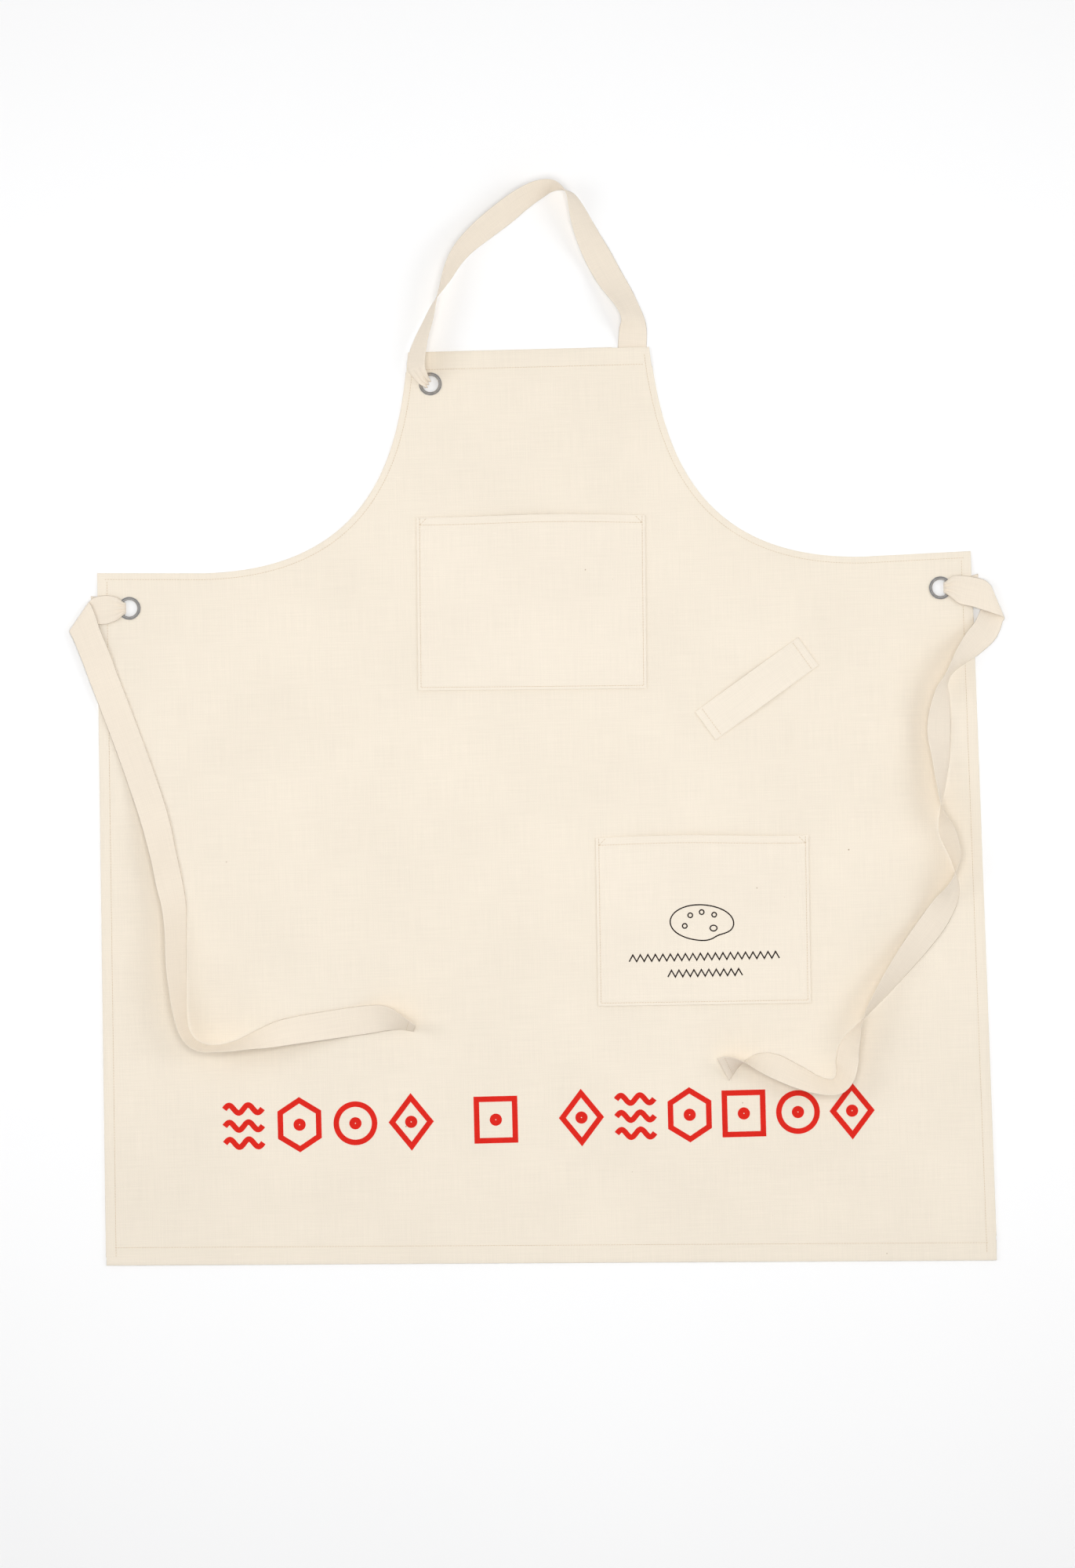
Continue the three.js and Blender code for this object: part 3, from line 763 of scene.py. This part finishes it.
class APRON_OT_tapes(bpy.types.Operator):
    """Neck strap and the two waist ties, flat cotton tape laid along their routes"""

    bl_idname = "apron.tapes"
    bl_label = "Tapes"

    def execute(self, context):
        sizes = context.scene.apron_sizes
        make_tape("neck_strap_tape", "neck_strap", NECK_STRAP_ROUTE, EYELETS["neck"], sizes, False)
        for side, route in (("left", LEFT_TIE_ROUTE), ("right", RIGHT_TIE_ROUTE)):
            frames = make_tape(f"{side}_tie_tape", f"{side}_tie", route, EYELETS[side], sizes, True)
            line = end_hem_line(frames, sizes)
            stitches = [stitch_run(line, frames[2][-1] * sign, sizes) for sign in (1, -1)]
            add_stitching(f"{side}_tie_end_stitching", stitches, "tape")
        return {"FINISHED"}


def end_hem_line(frames, sizes):
    """The line of stitching across a tie, 8 mm from its end."""
    centre, half, face, _, along = frames
    k = int(np.argmin(np.abs(along - along[-1] + END_STITCH)))
    v = np.linspace(-0.93, 0.93, 40)[:, None]
    return centre[k] + half[k] * v


# ---------------------------------------------------------------- stitching


HEM_STITCH = 2 * MM          # stitching out from a hem's inner edge
CORNER_GAP = 4 * MM          # stitches keep this far inside the outline
WRAP_GAP = 3 * MM            # between a side hem and the tape that wraps the edge
STRAP_GAP = 2.4 * MM         # from the bib corner past the strap to the bib hem's end


def resample(line, count):
    """count points evenly along a line of points."""
    along = np.concatenate([[0], np.cumsum(np.linalg.norm(np.diff(line, axis=0), axis=1))])
    wanted = np.linspace(0, along[-1], count)
    return np.stack([np.interp(wanted, along, line[:, k]) for k in range(line.shape[1])], axis=-1)


def stitch_run(line, up, sizes, lift=None):
    """Stitches along a line, each a short thread that rises in its middle and dives at both ends.

    The profile carried along each is a hexagon of the thread's radius, drawn in to a point at its
    ends, and its height is an arch. The result is an array of stitch, ring and corner.
    """
    length = float(np.linalg.norm(np.diff(line, axis=0), axis=1).sum())
    count = max(int(length / sizes.stitch), 1)
    knots = resample(line, count + 1)
    share = np.linspace(0.06, 0.94, 6)
    start, step = knots[:-1, None, :], np.diff(knots, axis=0)[:, None, :]
    centre = start + step * share[None, :, None]
    up = np.broadcast_to(np.asarray(up, float), step[:, 0].shape)[:, None, :]
    side = np.cross(step, up)
    side /= np.linalg.norm(side, axis=-1, keepdims=True)
    arch = np.sin(math.pi * (share - share[0]) / (share[-1] - share[0]))
    rise = (lift if lift is not None else sizes.tape_thickness * 0.8) + sizes.thread * (1.3 * arch - 0.6)
    centre = centre + up * rise[None, :, None]
    radius = sizes.thread * (0.25 + 0.75 * np.sqrt(np.clip(arch, 0, 1)))[None, :, None, None]
    corner = 2 * math.pi * np.arange(6) / 6
    ring = side[:, :, None, :] * np.cos(corner)[None, None, :, None]
    ring = ring + up[:, :, None, :] * np.sin(corner)[None, None, :, None]
    return centre[:, :, None, :] + ring * radius


def add_stitching(name, runs, slot):
    """Joins runs of stitches into one mesh, each stitch a closed body of its own."""
    stitches = np.concatenate(runs)
    count, rows, columns = stitches.shape[:3]
    faces = closed_faces(stitches[0], rows, columns)
    offset = np.arange(count)[:, None, None] * rows * columns
    uv = np.zeros((count, rows, columns, 2))
    uv[..., 0] = np.linspace(0, 1, rows)[None, :, None]
    uv[..., 1] = np.linspace(0, 1, columns)[None, None, :]
    made = add_mesh(name, stitches, (faces[None] + offset).reshape(-1, 4), material("thread"), uv)
    return finish_piece(made, slot)


def on_cloth(x, y, above=0.0):
    """Points on the canvas's upper face, or that much above it."""
    return np.stack([x, y, cloth_height(x, y) + above], axis=-1)


def inset_line(points, inset):
    """An open plan line moved to its left by inset."""
    tangent = np.gradient(points, axis=0)
    tangent /= np.linalg.norm(tangent, axis=1, keepdims=True)
    return points + np.stack([-tangent[:, 1], tangent[:, 0]], axis=-1) * inset


def hem_paths():
    """The panel's six edges, at the spacing that the hems are swept and stitched along."""
    return panel_edges(110, 90, 48, 40)


class APRON_OT_stitching(bpy.types.Operator):
    """Rows of stitches that hold the hems and facings, a little inside each edge"""

    bl_idname = "apron.stitching"
    bl_label = "Hem stitching"

    def execute(self, context):
        sizes = context.scene.apron_sizes
        depth = {
            "bottom": sizes.bottom_hem,
            "right_side": sizes.side_hem,
            "right_armhole": sizes.facing,
            "bib_top": sizes.bib_hem,
            "left_armhole": sizes.facing,
            "left_side": sizes.side_hem,
        }
        runs = []
        for name, path in hem_paths().items():
            line = inset_line(path, depth[name] - HEM_STITCH)
            trimmed = line[edge_distance(line[:, 0], line[:, 1]) > CORNER_GAP]
            runs.append(stitch_run(on_cloth(*trimmed.T), (0, 0, 1), sizes, lift=0.02 * MM))
        add_stitching("hem_stitching", runs, "hem_canvas")
        return {"FINISHED"}


# ---------------------------------------------------------------- canvas and hems


CANVAS_ROWS = 206
HOLE_RADIUS = 9.9 * MM


def canvas_columns():
    """Places of the grid's columns at the waist and the level of the top edge over each.

    They are even under the bib and follow the armhole's own parameter beyond it.
    """
    bib = np.linspace(0, BIB_HALF, 26)
    curve = bezier(ARMHOLE, np.linspace(0, 1, 56))[1:]
    straight = np.linspace(ARMHOLE[-1, 0], WAIST_HALF, 24)[1:]
    rise = ARMHOLE[-1, 1] + (straight - ARMHOLE[-1, 0]) / (WAIST_HALF - ARMHOLE[-1, 0]) * (
        CORNER_LEVEL - ARMHOLE[-1, 1]
    )
    x = np.concatenate([bib, curve[:, 0], straight])
    top = np.concatenate([np.full_like(bib, TOP), curve[:, 1], rise])
    return np.concatenate([-x[:0:-1], x]), np.concatenate([top[:0:-1], top])


def canvas_surface():
    """The panel as a grid: columns that spread with the width, rows even from the hem to the top edge.

    Points inside an eyelet's hole are pushed out to its rim, and the cells left inside are dropped.
    """
    waist_x, top = canvas_columns()
    share = np.linspace(0, 1, CANVAS_ROWS)[:, None]
    bottom = hem_y(waist_x * HEM_HALF / WAIST_HALF)
    y = bottom[None, :] + share * (top - bottom)[None, :]
    x = waist_x[None, :] * side_x(np.minimum(y, CORNER_LEVEL)) / WAIST_HALF
    inside = np.zeros(x.shape, bool)
    for cx, cy in EYELETS.values():
        dx, dy = x - cx, y - cy
        reach = np.hypot(dx, dy)
        near = reach < HOLE_RADIUS
        push = np.where(near, HOLE_RADIUS / np.maximum(reach, 1e-6), 1)
        x, y = cx + dx * push, cy + dy * push
        inside |= near
    faces = grid_faces(*x.shape)
    keep = ~inside.ravel()[faces].all(axis=1)
    return x, y, faces[keep]


def drop_loose(points, faces):
    """The points that the faces use, and the faces numbered to suit."""
    used, numbered = np.unique(faces, return_inverse=True)
    return points.reshape(-1, points.shape[-1])[used], numbered.reshape(faces.shape)


class APRON_OT_canvas(bpy.types.Operator):
    """Canvas panel: one sheet of cloth with its armholes, three eyelet holes and soft waves"""

    bl_idname = "apron.canvas"
    bl_label = "Canvas panel"

    def execute(self, context):
        sizes = context.scene.apron_sizes
        x, y, faces = canvas_surface()
        points, faces = drop_loose(np.stack([x, y, cloth_height(x, y)], axis=-1), faces)
        canvas = add_mesh("canvas_cloth", points, faces, material("canvas"), points[:, :2])
        solidify(canvas, sizes.ply)
        finish_piece(canvas, "body_canvas", "canvas_panel")
        return {"FINISHED"}


def turned_profile(depth):
    """Section of a turned edge as (distance in from the edge, height): a half round over all three
    plies at the fold, flat beneath, and a small round at the raw edge turned under."""
    bulge, top = 0.7 * MM, CLOTH_TOP
    under = top - 0.82 * MM
    turn = np.linspace(math.pi / 2, -math.pi / 2, 9)
    fold = np.stack([-bulge * np.cos(turn), top / 2 + top / 2 * np.sin(turn)], axis=-1)
    flat = np.stack([np.linspace(0.15, 0.95, 4) * depth, np.zeros(4)], axis=-1)
    back = turn[::-1]
    inner = np.stack([depth + 0.4 * MM * np.cos(back), under / 2 + under / 2 * np.sin(back)], axis=-1)
    return np.concatenate([fold, flat, inner, flat[::-1] * (1, 0) + (0, under)])


def swept_edge(name, path, depth, node):
    """Carries the turned section along an edge, square to it, and closes both ends."""
    profile = turned_profile(depth)
    tangent = np.gradient(path, axis=0)
    tangent /= np.linalg.norm(tangent, axis=1, keepdims=True)
    inward = np.stack([-tangent[:, 1], tangent[:, 0]], axis=-1)
    plan = path[:, None, :] + inward[:, None, :] * profile[None, :, :1]
    height = np.broadcast_to(profile[None, :, 1:], (*plan.shape[:2], 1))
    points = np.concatenate([plan, height], axis=-1)
    faces = closed_faces(points, *points.shape[:2])
    return finish_piece(add_mesh(name, points, faces, material("canvas"), plan), "hem_canvas", node)


class APRON_OT_hems(bpy.types.Operator):
    """Turned edges: bib and bottom hems, side hems and armhole facings"""

    bl_idname = "apron.hems"
    bl_label = "Hems and facings"

    def execute(self, context):
        sizes = context.scene.apron_sizes
        paths = hem_paths()
        wrap = float(EYELETS["left"][1]) - sizes.tape_width / 2 - WRAP_GAP
        lower = HEM_LEVEL + sizes.bottom_hem + 0.5 * HEM_SKEW
        sides = {
            s: p[(p[:, 1] < wrap) & (p[:, 1] > lower - HEM_SKEW)] for s, p in paths.items() if "side" in s
        }
        arms = {s: p[p[:, 1] < TOP - sizes.bib_hem] for s, p in paths.items() if "armhole" in s}
        bib = paths["bib_top"]
        bib = bib[bib[:, 0] < BIB_HALF - STRAP_GAP - sizes.tape_width]
        bottom = resample(paths["bottom"], 60)
        swept_edge("bottom_hem_fold", bottom, sizes.bottom_hem, "bottom_hem")
        swept_edge("bib_hem_fold", bib, sizes.bib_hem, "bib_top_hem")
        for side in ("left", "right"):
            swept_edge(f"{side}_side_hem_fold", sides[f"{side}_side"], sizes.side_hem, f"{side}_side_hem")
            arm = arms[f"{side}_armhole"]
            swept_edge(f"{side}_armhole_fold", arm, sizes.facing, f"{side}_armhole_facing")
        return {"FINISHED"}


# ---------------------------------------------------------------- pockets and tool loop


def patch_plan(node, turn):
    """The plan point of a patch at shares across and up from its middle, as a function."""
    low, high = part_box(node)
    centre = np.array([(low.x + high.x) / 2, (low.y + high.y) / 2])
    angle = math.radians(turn)
    across = np.array([math.cos(angle), math.sin(angle)])
    up = np.array([-math.sin(angle), math.cos(angle)])
    return lambda a, b: (
        centre[0] + a * across[0] + b * up[0],
        centre[1] + a * across[1] + b * up[1],
    )


def spaced(length, fine, border):
    """Places along a side: close together within border of its ends, wider apart between."""
    ends = np.linspace(0, border, int(border / fine) + 1)
    middle = np.linspace(border, length - border, int((length - 2 * border) / (3.2 * fine)) + 1)
    return np.concatenate([ends, middle[1:-1], length - ends[::-1]]) - length / 2


SEAM = 3.2 * MM          # stitching in from a pocket's edge
ALLOWANCE = 9 * MM       # cloth turned under along a pocket's sides
MOUTH_HEM = 8 * MM       # stitching down from a pocket's mouth
TACK = 7 * MM            # slanted stitching at each end of a mouth
PATCH_FINE = 0.8 * MM    # grid spacing along a pocket's border
PATCH_BORDER = 14 * MM
# width, height, turn in degrees, and a number that sets each pocket's own waves
CHEST_PATCH = (239 * MM, 182 * MM, -0.9, 0.9)
LOWER_PATCH = (222.5 * MM, 176.5 * MM, -0.6, 2.3)


def pocket_height(a, b, width, height, sizes, wander):
    """How far a pocket's upper face stands above the canvas.

    One ply everywhere and another where the edge is turned under, pressed down along each row of
    stitches. The mouth stands off in its middle, a cosine across it that dies away downwards.
    """
    side = np.minimum(width / 2 - np.abs(a), b + height / 2)
    mouth = height / 2 - b
    turned = 1 - smooth_step((np.minimum(side, mouth) - ALLOWANCE) / (2 * MM))
    groove = np.exp(-(((side - SEAM) / (1.0 * MM)) ** 2)) + np.exp(-(((mouth - MOUTH_HEM) / (1.0 * MM)) ** 2))
    span = 0.5 + 0.5 * np.cos(2 * math.pi * np.clip(a / width, -0.5, 0.5))
    gape = span * smooth_step(1 - mouth / (0.6 * height))
    soft = 0.22 * MM * np.sin(a / (21 * MM) + wander) * np.sin(b / (17 * MM) + 2 * wander)
    flat = smooth_step((np.minimum(side, mouth) - ALLOWANCE) / (15 * MM))
    plies = 1.05 + 0.55 * turned - 0.38 * np.clip(groove, 0, 1)
    return plies * sizes.ply + gape * sizes.pocket_mouth + flat * soft


def mouth_wave(a, b, width, height, wander):
    """How far a pocket's cloth wanders upwards, a slight wave that fades in towards the mouth."""
    fade = smooth_step((b / height + 0.1) / 0.6)
    return 1.1 * MM * np.sin(2 * math.pi * a / width * 0.9 + wander) * fade


def patch_pocket(name, node, width, height, turn, wander, sizes):
    """A patch pocket sewn down along three edges, open along its upper one, with its stitching."""
    plan = patch_plan(node, turn)
    a, b = np.meshgrid(*(spaced(side, PATCH_FINE, PATCH_BORDER) for side in (width, height)))
    x, y = plan(a, b + mouth_wave(a, b, width, height, wander))
    z = cloth_height(x, y) + pocket_height(a, b, width, height, sizes, wander)
    points = np.stack([x, y, z], axis=-1)
    uv = np.stack([a, b], axis=-1)
    pocket = add_mesh(name, points, grid_faces(*a.shape), material("pocket"), uv)
    solidify(pocket, sizes.ply * 0.95)
    finish_piece(pocket, "pocket_canvas", node)

    def seam(line_a, line_b):
        sx, sy = plan(line_a, line_b + mouth_wave(line_a, line_b, width, height, wander))
        sz = cloth_height(sx, sy) + pocket_height(line_a, line_b, width, height, sizes, wander)
        return stitch_run(np.stack([sx, sy, sz], axis=-1), (0, 0, 1), sizes, lift=0.03 * MM)

    across = np.linspace(-width / 2 + SEAM, width / 2 - SEAM, 80)
    up = np.linspace(-height / 2 + SEAM, height / 2 - 0.6 * MM, 60)
    level = np.full_like(across, -height / 2 + SEAM)
    edge = np.full_like(up, width / 2 - SEAM)
    runs = [seam(across, level), seam(edge, up), seam(-edge, up)]
    runs.append(seam(across, np.full_like(across, height / 2 - MOUTH_HEM)))
    tack = np.linspace(0, 1, 8)
    for side in (LEFT, RIGHT):
        corner = side * (width / 2 - SEAM)
        runs.append(seam(corner - side * TACK * tack, height / 2 - 1 * MM - TACK * (1 - tack)))
    add_stitching(f"{name}_stitching", runs, "pocket_canvas")
    return pocket


class APRON_OT_pockets(bpy.types.Operator):
    """Chest pocket and lower pocket, each a patch of canvas sewn down on three sides"""

    bl_idname = "apron.pockets"
    bl_label = "Pockets"

    def execute(self, context):
        sizes = context.scene.apron_sizes
        patch_pocket("chest_patch", "chest_pocket", *CHEST_PATCH, sizes)
        patch_pocket("lower_patch", "lower_pocket", *LOWER_PATCH, sizes)
        return {"FINISHED"}


class APRON_OT_tool_loop(bpy.types.Operator):
    """Slanted tool loop: a folded strip of canvas sewn down near its two ends"""

    bl_idname = "apron.tool_loop"
    bl_label = "Tool loop"

    def execute(self, context):
        sizes = context.scene.apron_sizes
        length, width, seam_in, turn = 133 * MM, 37 * MM, 8 * MM, 34.5
        plan = patch_plan("tool_loop", turn)

        def rise(a, b):
            """An arch between the two seams, pressed down along them, with rounded long edges."""
            end = length / 2 - np.abs(a)
            arch = (0.5 + 0.5 * np.cos(2 * math.pi * a / (length - 2 * seam_in))) * (end > seam_in)
            groove = np.exp(-(((end - seam_in) / (1.0 * MM)) ** 2))
            edge = 1 - smooth_step((width / 2 - np.abs(b)) / (1.2 * MM))
            thick = 1.9 * (1 - 0.22 * groove - 0.28 * edge)
            return thick * sizes.ply + arch * sizes.loop_rise

        a, b = np.meshgrid(spaced(length, 0.8 * MM, 12 * MM), spaced(width, 0.6 * MM, 5 * MM))
        x, y = plan(a, b)
        points = np.stack([x, y, cloth_height(x, y) + rise(a, b)], axis=-1)
        uv = np.stack([a, b], axis=-1)
        loop = add_mesh("tool_loop_strip", points, grid_faces(*a.shape), material("pocket"), uv)
        solidify(loop, 1.7 * sizes.ply)
        finish_piece(loop, "pocket_canvas", "tool_loop")
        line = np.linspace(-width / 2 + 1.5 * MM, width / 2 - 1.5 * MM, 20)
        runs = []
        for end in (LEFT, RIGHT):
            at = np.full_like(line, end * (length / 2 - seam_in))
            sx, sy = plan(at, line)
            seam = np.stack([sx, sy, cloth_height(sx, sy) + rise(at, line)], axis=-1)
            runs.append(stitch_run(seam, (0, 0, 1), sizes, lift=0.03 * MM))
        add_stitching("tool_loop_stitching", runs, "pocket_canvas")
        return {"FINISHED"}


# ---------------------------------------------------------------- eyelets


def turned_ring(name, profile, middle, finish, slot, node):
    """Turns a closed (radius, height) profile once round the eyelet's axis."""
    angle = 2 * math.pi * np.arange(96)[:, None] / 96
    radius, height = profile[None, :, 0], profile[None, :, 1]
    x = middle[0] + radius * np.cos(angle)
    y = middle[1] + radius * np.sin(angle)
    points = np.stack([x, y, np.broadcast_to(height, x.shape)], axis=-1)
    faces = grid_faces(*x.shape, wrap_rows=True, wrap_columns=True)
    if signed_volume(points.reshape(-1, 3), faces) < 0:
        faces = faces[:, ::-1]
    return finish_piece(add_mesh(name, points, faces, material(finish)), slot, node)


def rounded(knots, per_span=5):
    """A closed smooth curve through the knots."""
    s = np.asarray(knots, float)
    t = np.linspace(0, 1, per_span, endpoint=False)[None, :, None]
    p0, p1, p2, p3 = (np.roll(s, shift, axis=0)[:, None, :] for shift in (1, 0, -1, -2))
    curve = p1 + 0.5 * t * (p2 - p0 + t * (2 * p0 - 5 * p1 + 4 * p2 - p3 + t * (3 * (p1 - p2) + p3 - p0)))
    return curve.reshape(-1, 2)


class APRON_OT_eyelets(bpy.types.Operator):
    """Three nickel eyelets, each a beaded grommet set through the cloth and the washer behind it"""

    bl_idname = "apron.eyelets"
    bl_label = "Eyelets"

    def execute(self, context):
        top = CLOTH_TOP
        # radius and height above the canvas, in mm: outer bead, groove, inner bead, barrel and lip
        grommet = [
            (8.45, -1.5), (9.6, -1.62), (10.3, -1.5), (10.3, -1.34), (9.4, -1.36), (8.82, -1.0),
            (8.8, -0.4), (9.1, 0.06), (11.6, 0.04), (12.2, 0.12), (12.22, 0.42), (11.9, 0.86),
            (11.3, 1.12), (10.75, 1.02), (10.4, 0.84), (10.0, 0.9), (9.5, 1.2), (9.0, 1.18),
            (8.6, 0.8), (8.42, 0.3), (8.38, -0.6),
        ]
        washer = [(9.25, -1.25), (11.4, -1.27), (12.0, -1.15), (12.0, -0.95), (11.5, -0.84), (9.3, -0.86)]
        for name, middle in EYELETS.items():
            for piece, knots in (("grommet", grommet), ("washer", washer)):
                profile = rounded(np.array(knots) * MM) + (0, top)
                slot = f"nickel_{piece}"
                turned_ring(f"{name}_{piece}_ring", profile, middle, piece, slot, f"{name}_{piece}")
        return {"FINISHED"}


# ---------------------------------------------------------------- printed motifs


def circle_points(cx, cy, rx, ry, count=64):
    angle = 2 * math.pi * np.arange(count) / count
    return np.stack([cx + rx * np.cos(angle), cy + ry * np.sin(angle)], axis=-1)


def stroke_mesh(points, closed, width, surface):
    """One inked stroke: a strip of that width along a plan line, its corners mitred, 0.08 mm thick."""
    points = np.asarray(points, float)
    steps = np.diff(points, axis=0, append=points[:1])
    if not closed:
        steps[-1] = steps[-2]
    ahead = steps / np.linalg.norm(steps, axis=1, keepdims=True)
    behind = np.roll(ahead, 1, axis=0)
    if not closed:
        behind[0] = ahead[0]
    normal = np.stack([-ahead[:, 1] - behind[:, 1], ahead[:, 0] + behind[:, 0]], axis=-1)
    mitre = 1 + np.einsum("ij,ij->i", ahead, behind)
    reach = normal / np.maximum(mitre, 0.35)[:, None] * width / 2
    plan = np.stack([points - reach, points + reach], axis=1)
    top = surface(plan[..., 0], plan[..., 1]) + 0.06 * MM
    low = top - 0.1 * MM
    ring = np.stack([
        np.dstack([plan, top])[:, 0], np.dstack([plan, top])[:, 1],
        np.dstack([plan, low])[:, 1], np.dstack([plan, low])[:, 0],
    ], axis=1)
    if closed:
        faces = grid_faces(len(ring), 4, wrap_rows=True, wrap_columns=True)
        if signed_volume(ring.reshape(-1, 3), faces) < 0:
            faces = faces[:, ::-1]
        return ring.reshape(-1, 3), faces
    return ring.reshape(-1, 3), closed_faces(ring, len(ring), 4)


def divided(corners, closed, step=5 * MM):
    """The corners of a straight-sided line with points added about step apart between them."""
    corners = np.asarray(corners, float)
    ends = np.roll(corners, -1, axis=0) if closed else corners[1:]
    starts = corners if closed else corners[:-1]
    runs = []
    for start, end in zip(starts, ends):
        count = max(int(np.linalg.norm(end - start) / step), 1)
        runs.append(start + np.linspace(0, 1, count, endpoint=False)[:, None] * (end - start))
    if not closed:
        runs.append(corners[-1:])
    return np.concatenate(runs)


def add_print(name, strokes, width, ink, surface):
    """Joins strokes, each (points, closed), into one printed mesh."""
    points, faces, first = [], [], 0
    for line, closed in strokes:
        p, f = stroke_mesh(line, closed, width, surface)
        points.append(p)
        faces.append(f + first)
        first += len(p)
    made = add_mesh(name, np.concatenate(points), np.concatenate(faces), material(ink))
    made.data.polygons.foreach_set("use_smooth", np.zeros(len(made.data.polygons), bool))
    return finish_piece(made, ink)


BAND_STROKE = 5.8 * MM
FINE_STROKE = 1.35 * MM
PALETTE_MIDDLE = (0.166, -0.1215)
RULES = ((0.089, 0.246, -0.1570), (0.129, 0.207, -0.1740))   # left, right and level of each
RULE_HEIGHT = 7.0 * MM
RULE_PITCH = 7.5 * MM
BAND_LOW, BAND_HIGH = -0.3505, -0.2935
BAND_PLACES = (-0.318, -0.2597, -0.2013, -0.143, -0.0545, 0.035, 0.0916, 0.1482, 0.2048, 0.2614, 0.318)
BAND_ORDER = (
    "waves", "hexagon", "ring", "diamond", "box", "diamond", "waves", "hexagon", "box", "ring", "diamond",
)


def band_shapes():
    """Eleven plain shapes in a band, each a narrow outline round a dot, or three waves."""
    middle = (BAND_LOW + BAND_HIGH) / 2
    half_high = (BAND_HIGH - BAND_LOW) / 2 - 3 * MM
    half_wide = 20 * MM
    corners = {
        "hexagon": [(-1, -0.5), (0, -1), (1, -0.5), (1, 0.5), (0, 1), (-1, 0.5)],
        "diamond": [(0, -1), (1, 0), (0, 1), (-1, 0)],
        "box": [(-1, -0.85), (1, -0.85), (1, 0.85), (-1, 0.85)],
    }
    shapes = []
    for x, kind in zip(BAND_PLACES, BAND_ORDER):
        if kind == "waves":
            across = np.linspace(-1, 1, 40)
            for lift in (-0.7, 0, 0.7):
                level = middle + half_high * (lift + 0.16 * np.sin(2 * math.pi * across))
                shapes.append((np.stack([x + across * half_wide, level], axis=-1), False))
            continue
        if kind == "ring":
            shapes.append((circle_points(x, middle, half_wide, half_wide), True))
        else:
            line = np.array(corners[kind]) * (half_wide, half_high) + (x, middle)
            shapes.append((divided(line, True), True))
        shapes.append((circle_points(x, middle, 3.5 * MM, 3.5 * MM, 24), True))
    return shapes


def palette_shapes(cx, cy):
    """A painter's palette: a wide egg with a thumb hole and four dabs."""
    angle = 2 * math.pi * np.arange(96) / 96
    reach = 1 + 0.08 * np.cos(2 * angle + 0.6) - 0.16 * np.exp(-(((angle - 5.4) / 0.35) ** 2))
    egg = np.stack([cx + 31 * MM * reach * np.cos(angle), cy + 20 * MM * reach * np.sin(angle)], axis=-1)
    shapes = [(egg, True), (circle_points(cx + 12 * MM, cy - 6 * MM, 3.6 * MM, 3 * MM, 32), True)]
    for dx, dy in ((-18, -3), (-12, 8), (0, 11), (13, 8)):
        shapes.append((circle_points(cx + dx * MM, cy + dy * MM, 2.4 * MM, 2.4 * MM, 24), True))
    return shapes


def zigzag_rule(left, right, y, height, pitch):
    """A running zigzag between two ends."""
    count = int((right - left) / pitch) * 2 + 1
    level = y + height / 2 * np.where(np.arange(count) % 2, 1, -1)
    return np.stack([np.linspace(left, right, count), level], axis=-1), False


class APRON_OT_prints(bpy.types.Operator):
    """Printed motifs: a band of plain shapes in red, and a palette over two zigzag rules in black"""

    bl_idname = "apron.prints"
    bl_label = "Prints"

    def execute(self, context):
        sizes = context.scene.apron_sizes
        add_print("red_print", band_shapes(), BAND_STROKE, "red_ink", cloth_height)
        width, height, turn, wander = LOWER_PATCH
        turn = math.radians(turn)
        low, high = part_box("lower_pocket")
        cx, cy = (low.x + high.x) / 2, (low.y + high.y) / 2

        def pocket_top(x, y):
            a = (x - cx) * math.cos(turn) + (y - cy) * math.sin(turn)
            b = -(x - cx) * math.sin(turn) + (y - cy) * math.cos(turn)
            return cloth_height(x, y) + pocket_height(a, b, width, height, sizes, wander)

        strokes = palette_shapes(*PALETTE_MIDDLE)
        strokes += [zigzag_rule(*rule, RULE_HEIGHT, RULE_PITCH) for rule in RULES]
        add_print("black_print", strokes, FINE_STROKE, "black_ink", pocket_top)
        return {"FINISHED"}


# ---------------------------------------------------------------- panel and registration


STEPS = (
    APRON_OT_stage,
    APRON_OT_tapes,
    APRON_OT_canvas,
    APRON_OT_hems,
    APRON_OT_stitching,
    APRON_OT_pockets,
    APRON_OT_tool_loop,
    APRON_OT_eyelets,
    APRON_OT_prints,
)


class APRON_PT_panel(bpy.types.Panel):
    """The apron's making, step by step"""

    bl_label = "Apron"
    bl_idname = "APRON_PT_panel"
    bl_space_type = "VIEW_3D"
    bl_region_type = "UI"
    bl_category = "Apron"

    def draw(self, context):
        for step in STEPS:
            self.layout.operator(step.bl_idname, text=step.bl_label)
        for group in (context.scene.apron_sizes, context.scene.apron_colours):
            box = self.layout.box()
            for name in group.__annotations__:
                box.prop(group, name)


CLASSES = (ApronSizes, ApronColours, *STEPS, APRON_PT_panel)


def register():
    for cls in CLASSES:
        bpy.utils.register_class(cls)
    bpy.types.Scene.apron_sizes = PointerProperty(type=ApronSizes)
    bpy.types.Scene.apron_colours = PointerProperty(type=ApronColours)


def unregister():
    del bpy.types.Scene.apron_sizes
    del bpy.types.Scene.apron_colours
    for cls in reversed(CLASSES):
        bpy.utils.unregister_class(cls)


def main():
    register()
    for step in STEPS:
        group, name = step.bl_idname.split(".")
        getattr(getattr(bpy.ops, group), name)()


if __name__ == "__main__":
    main()
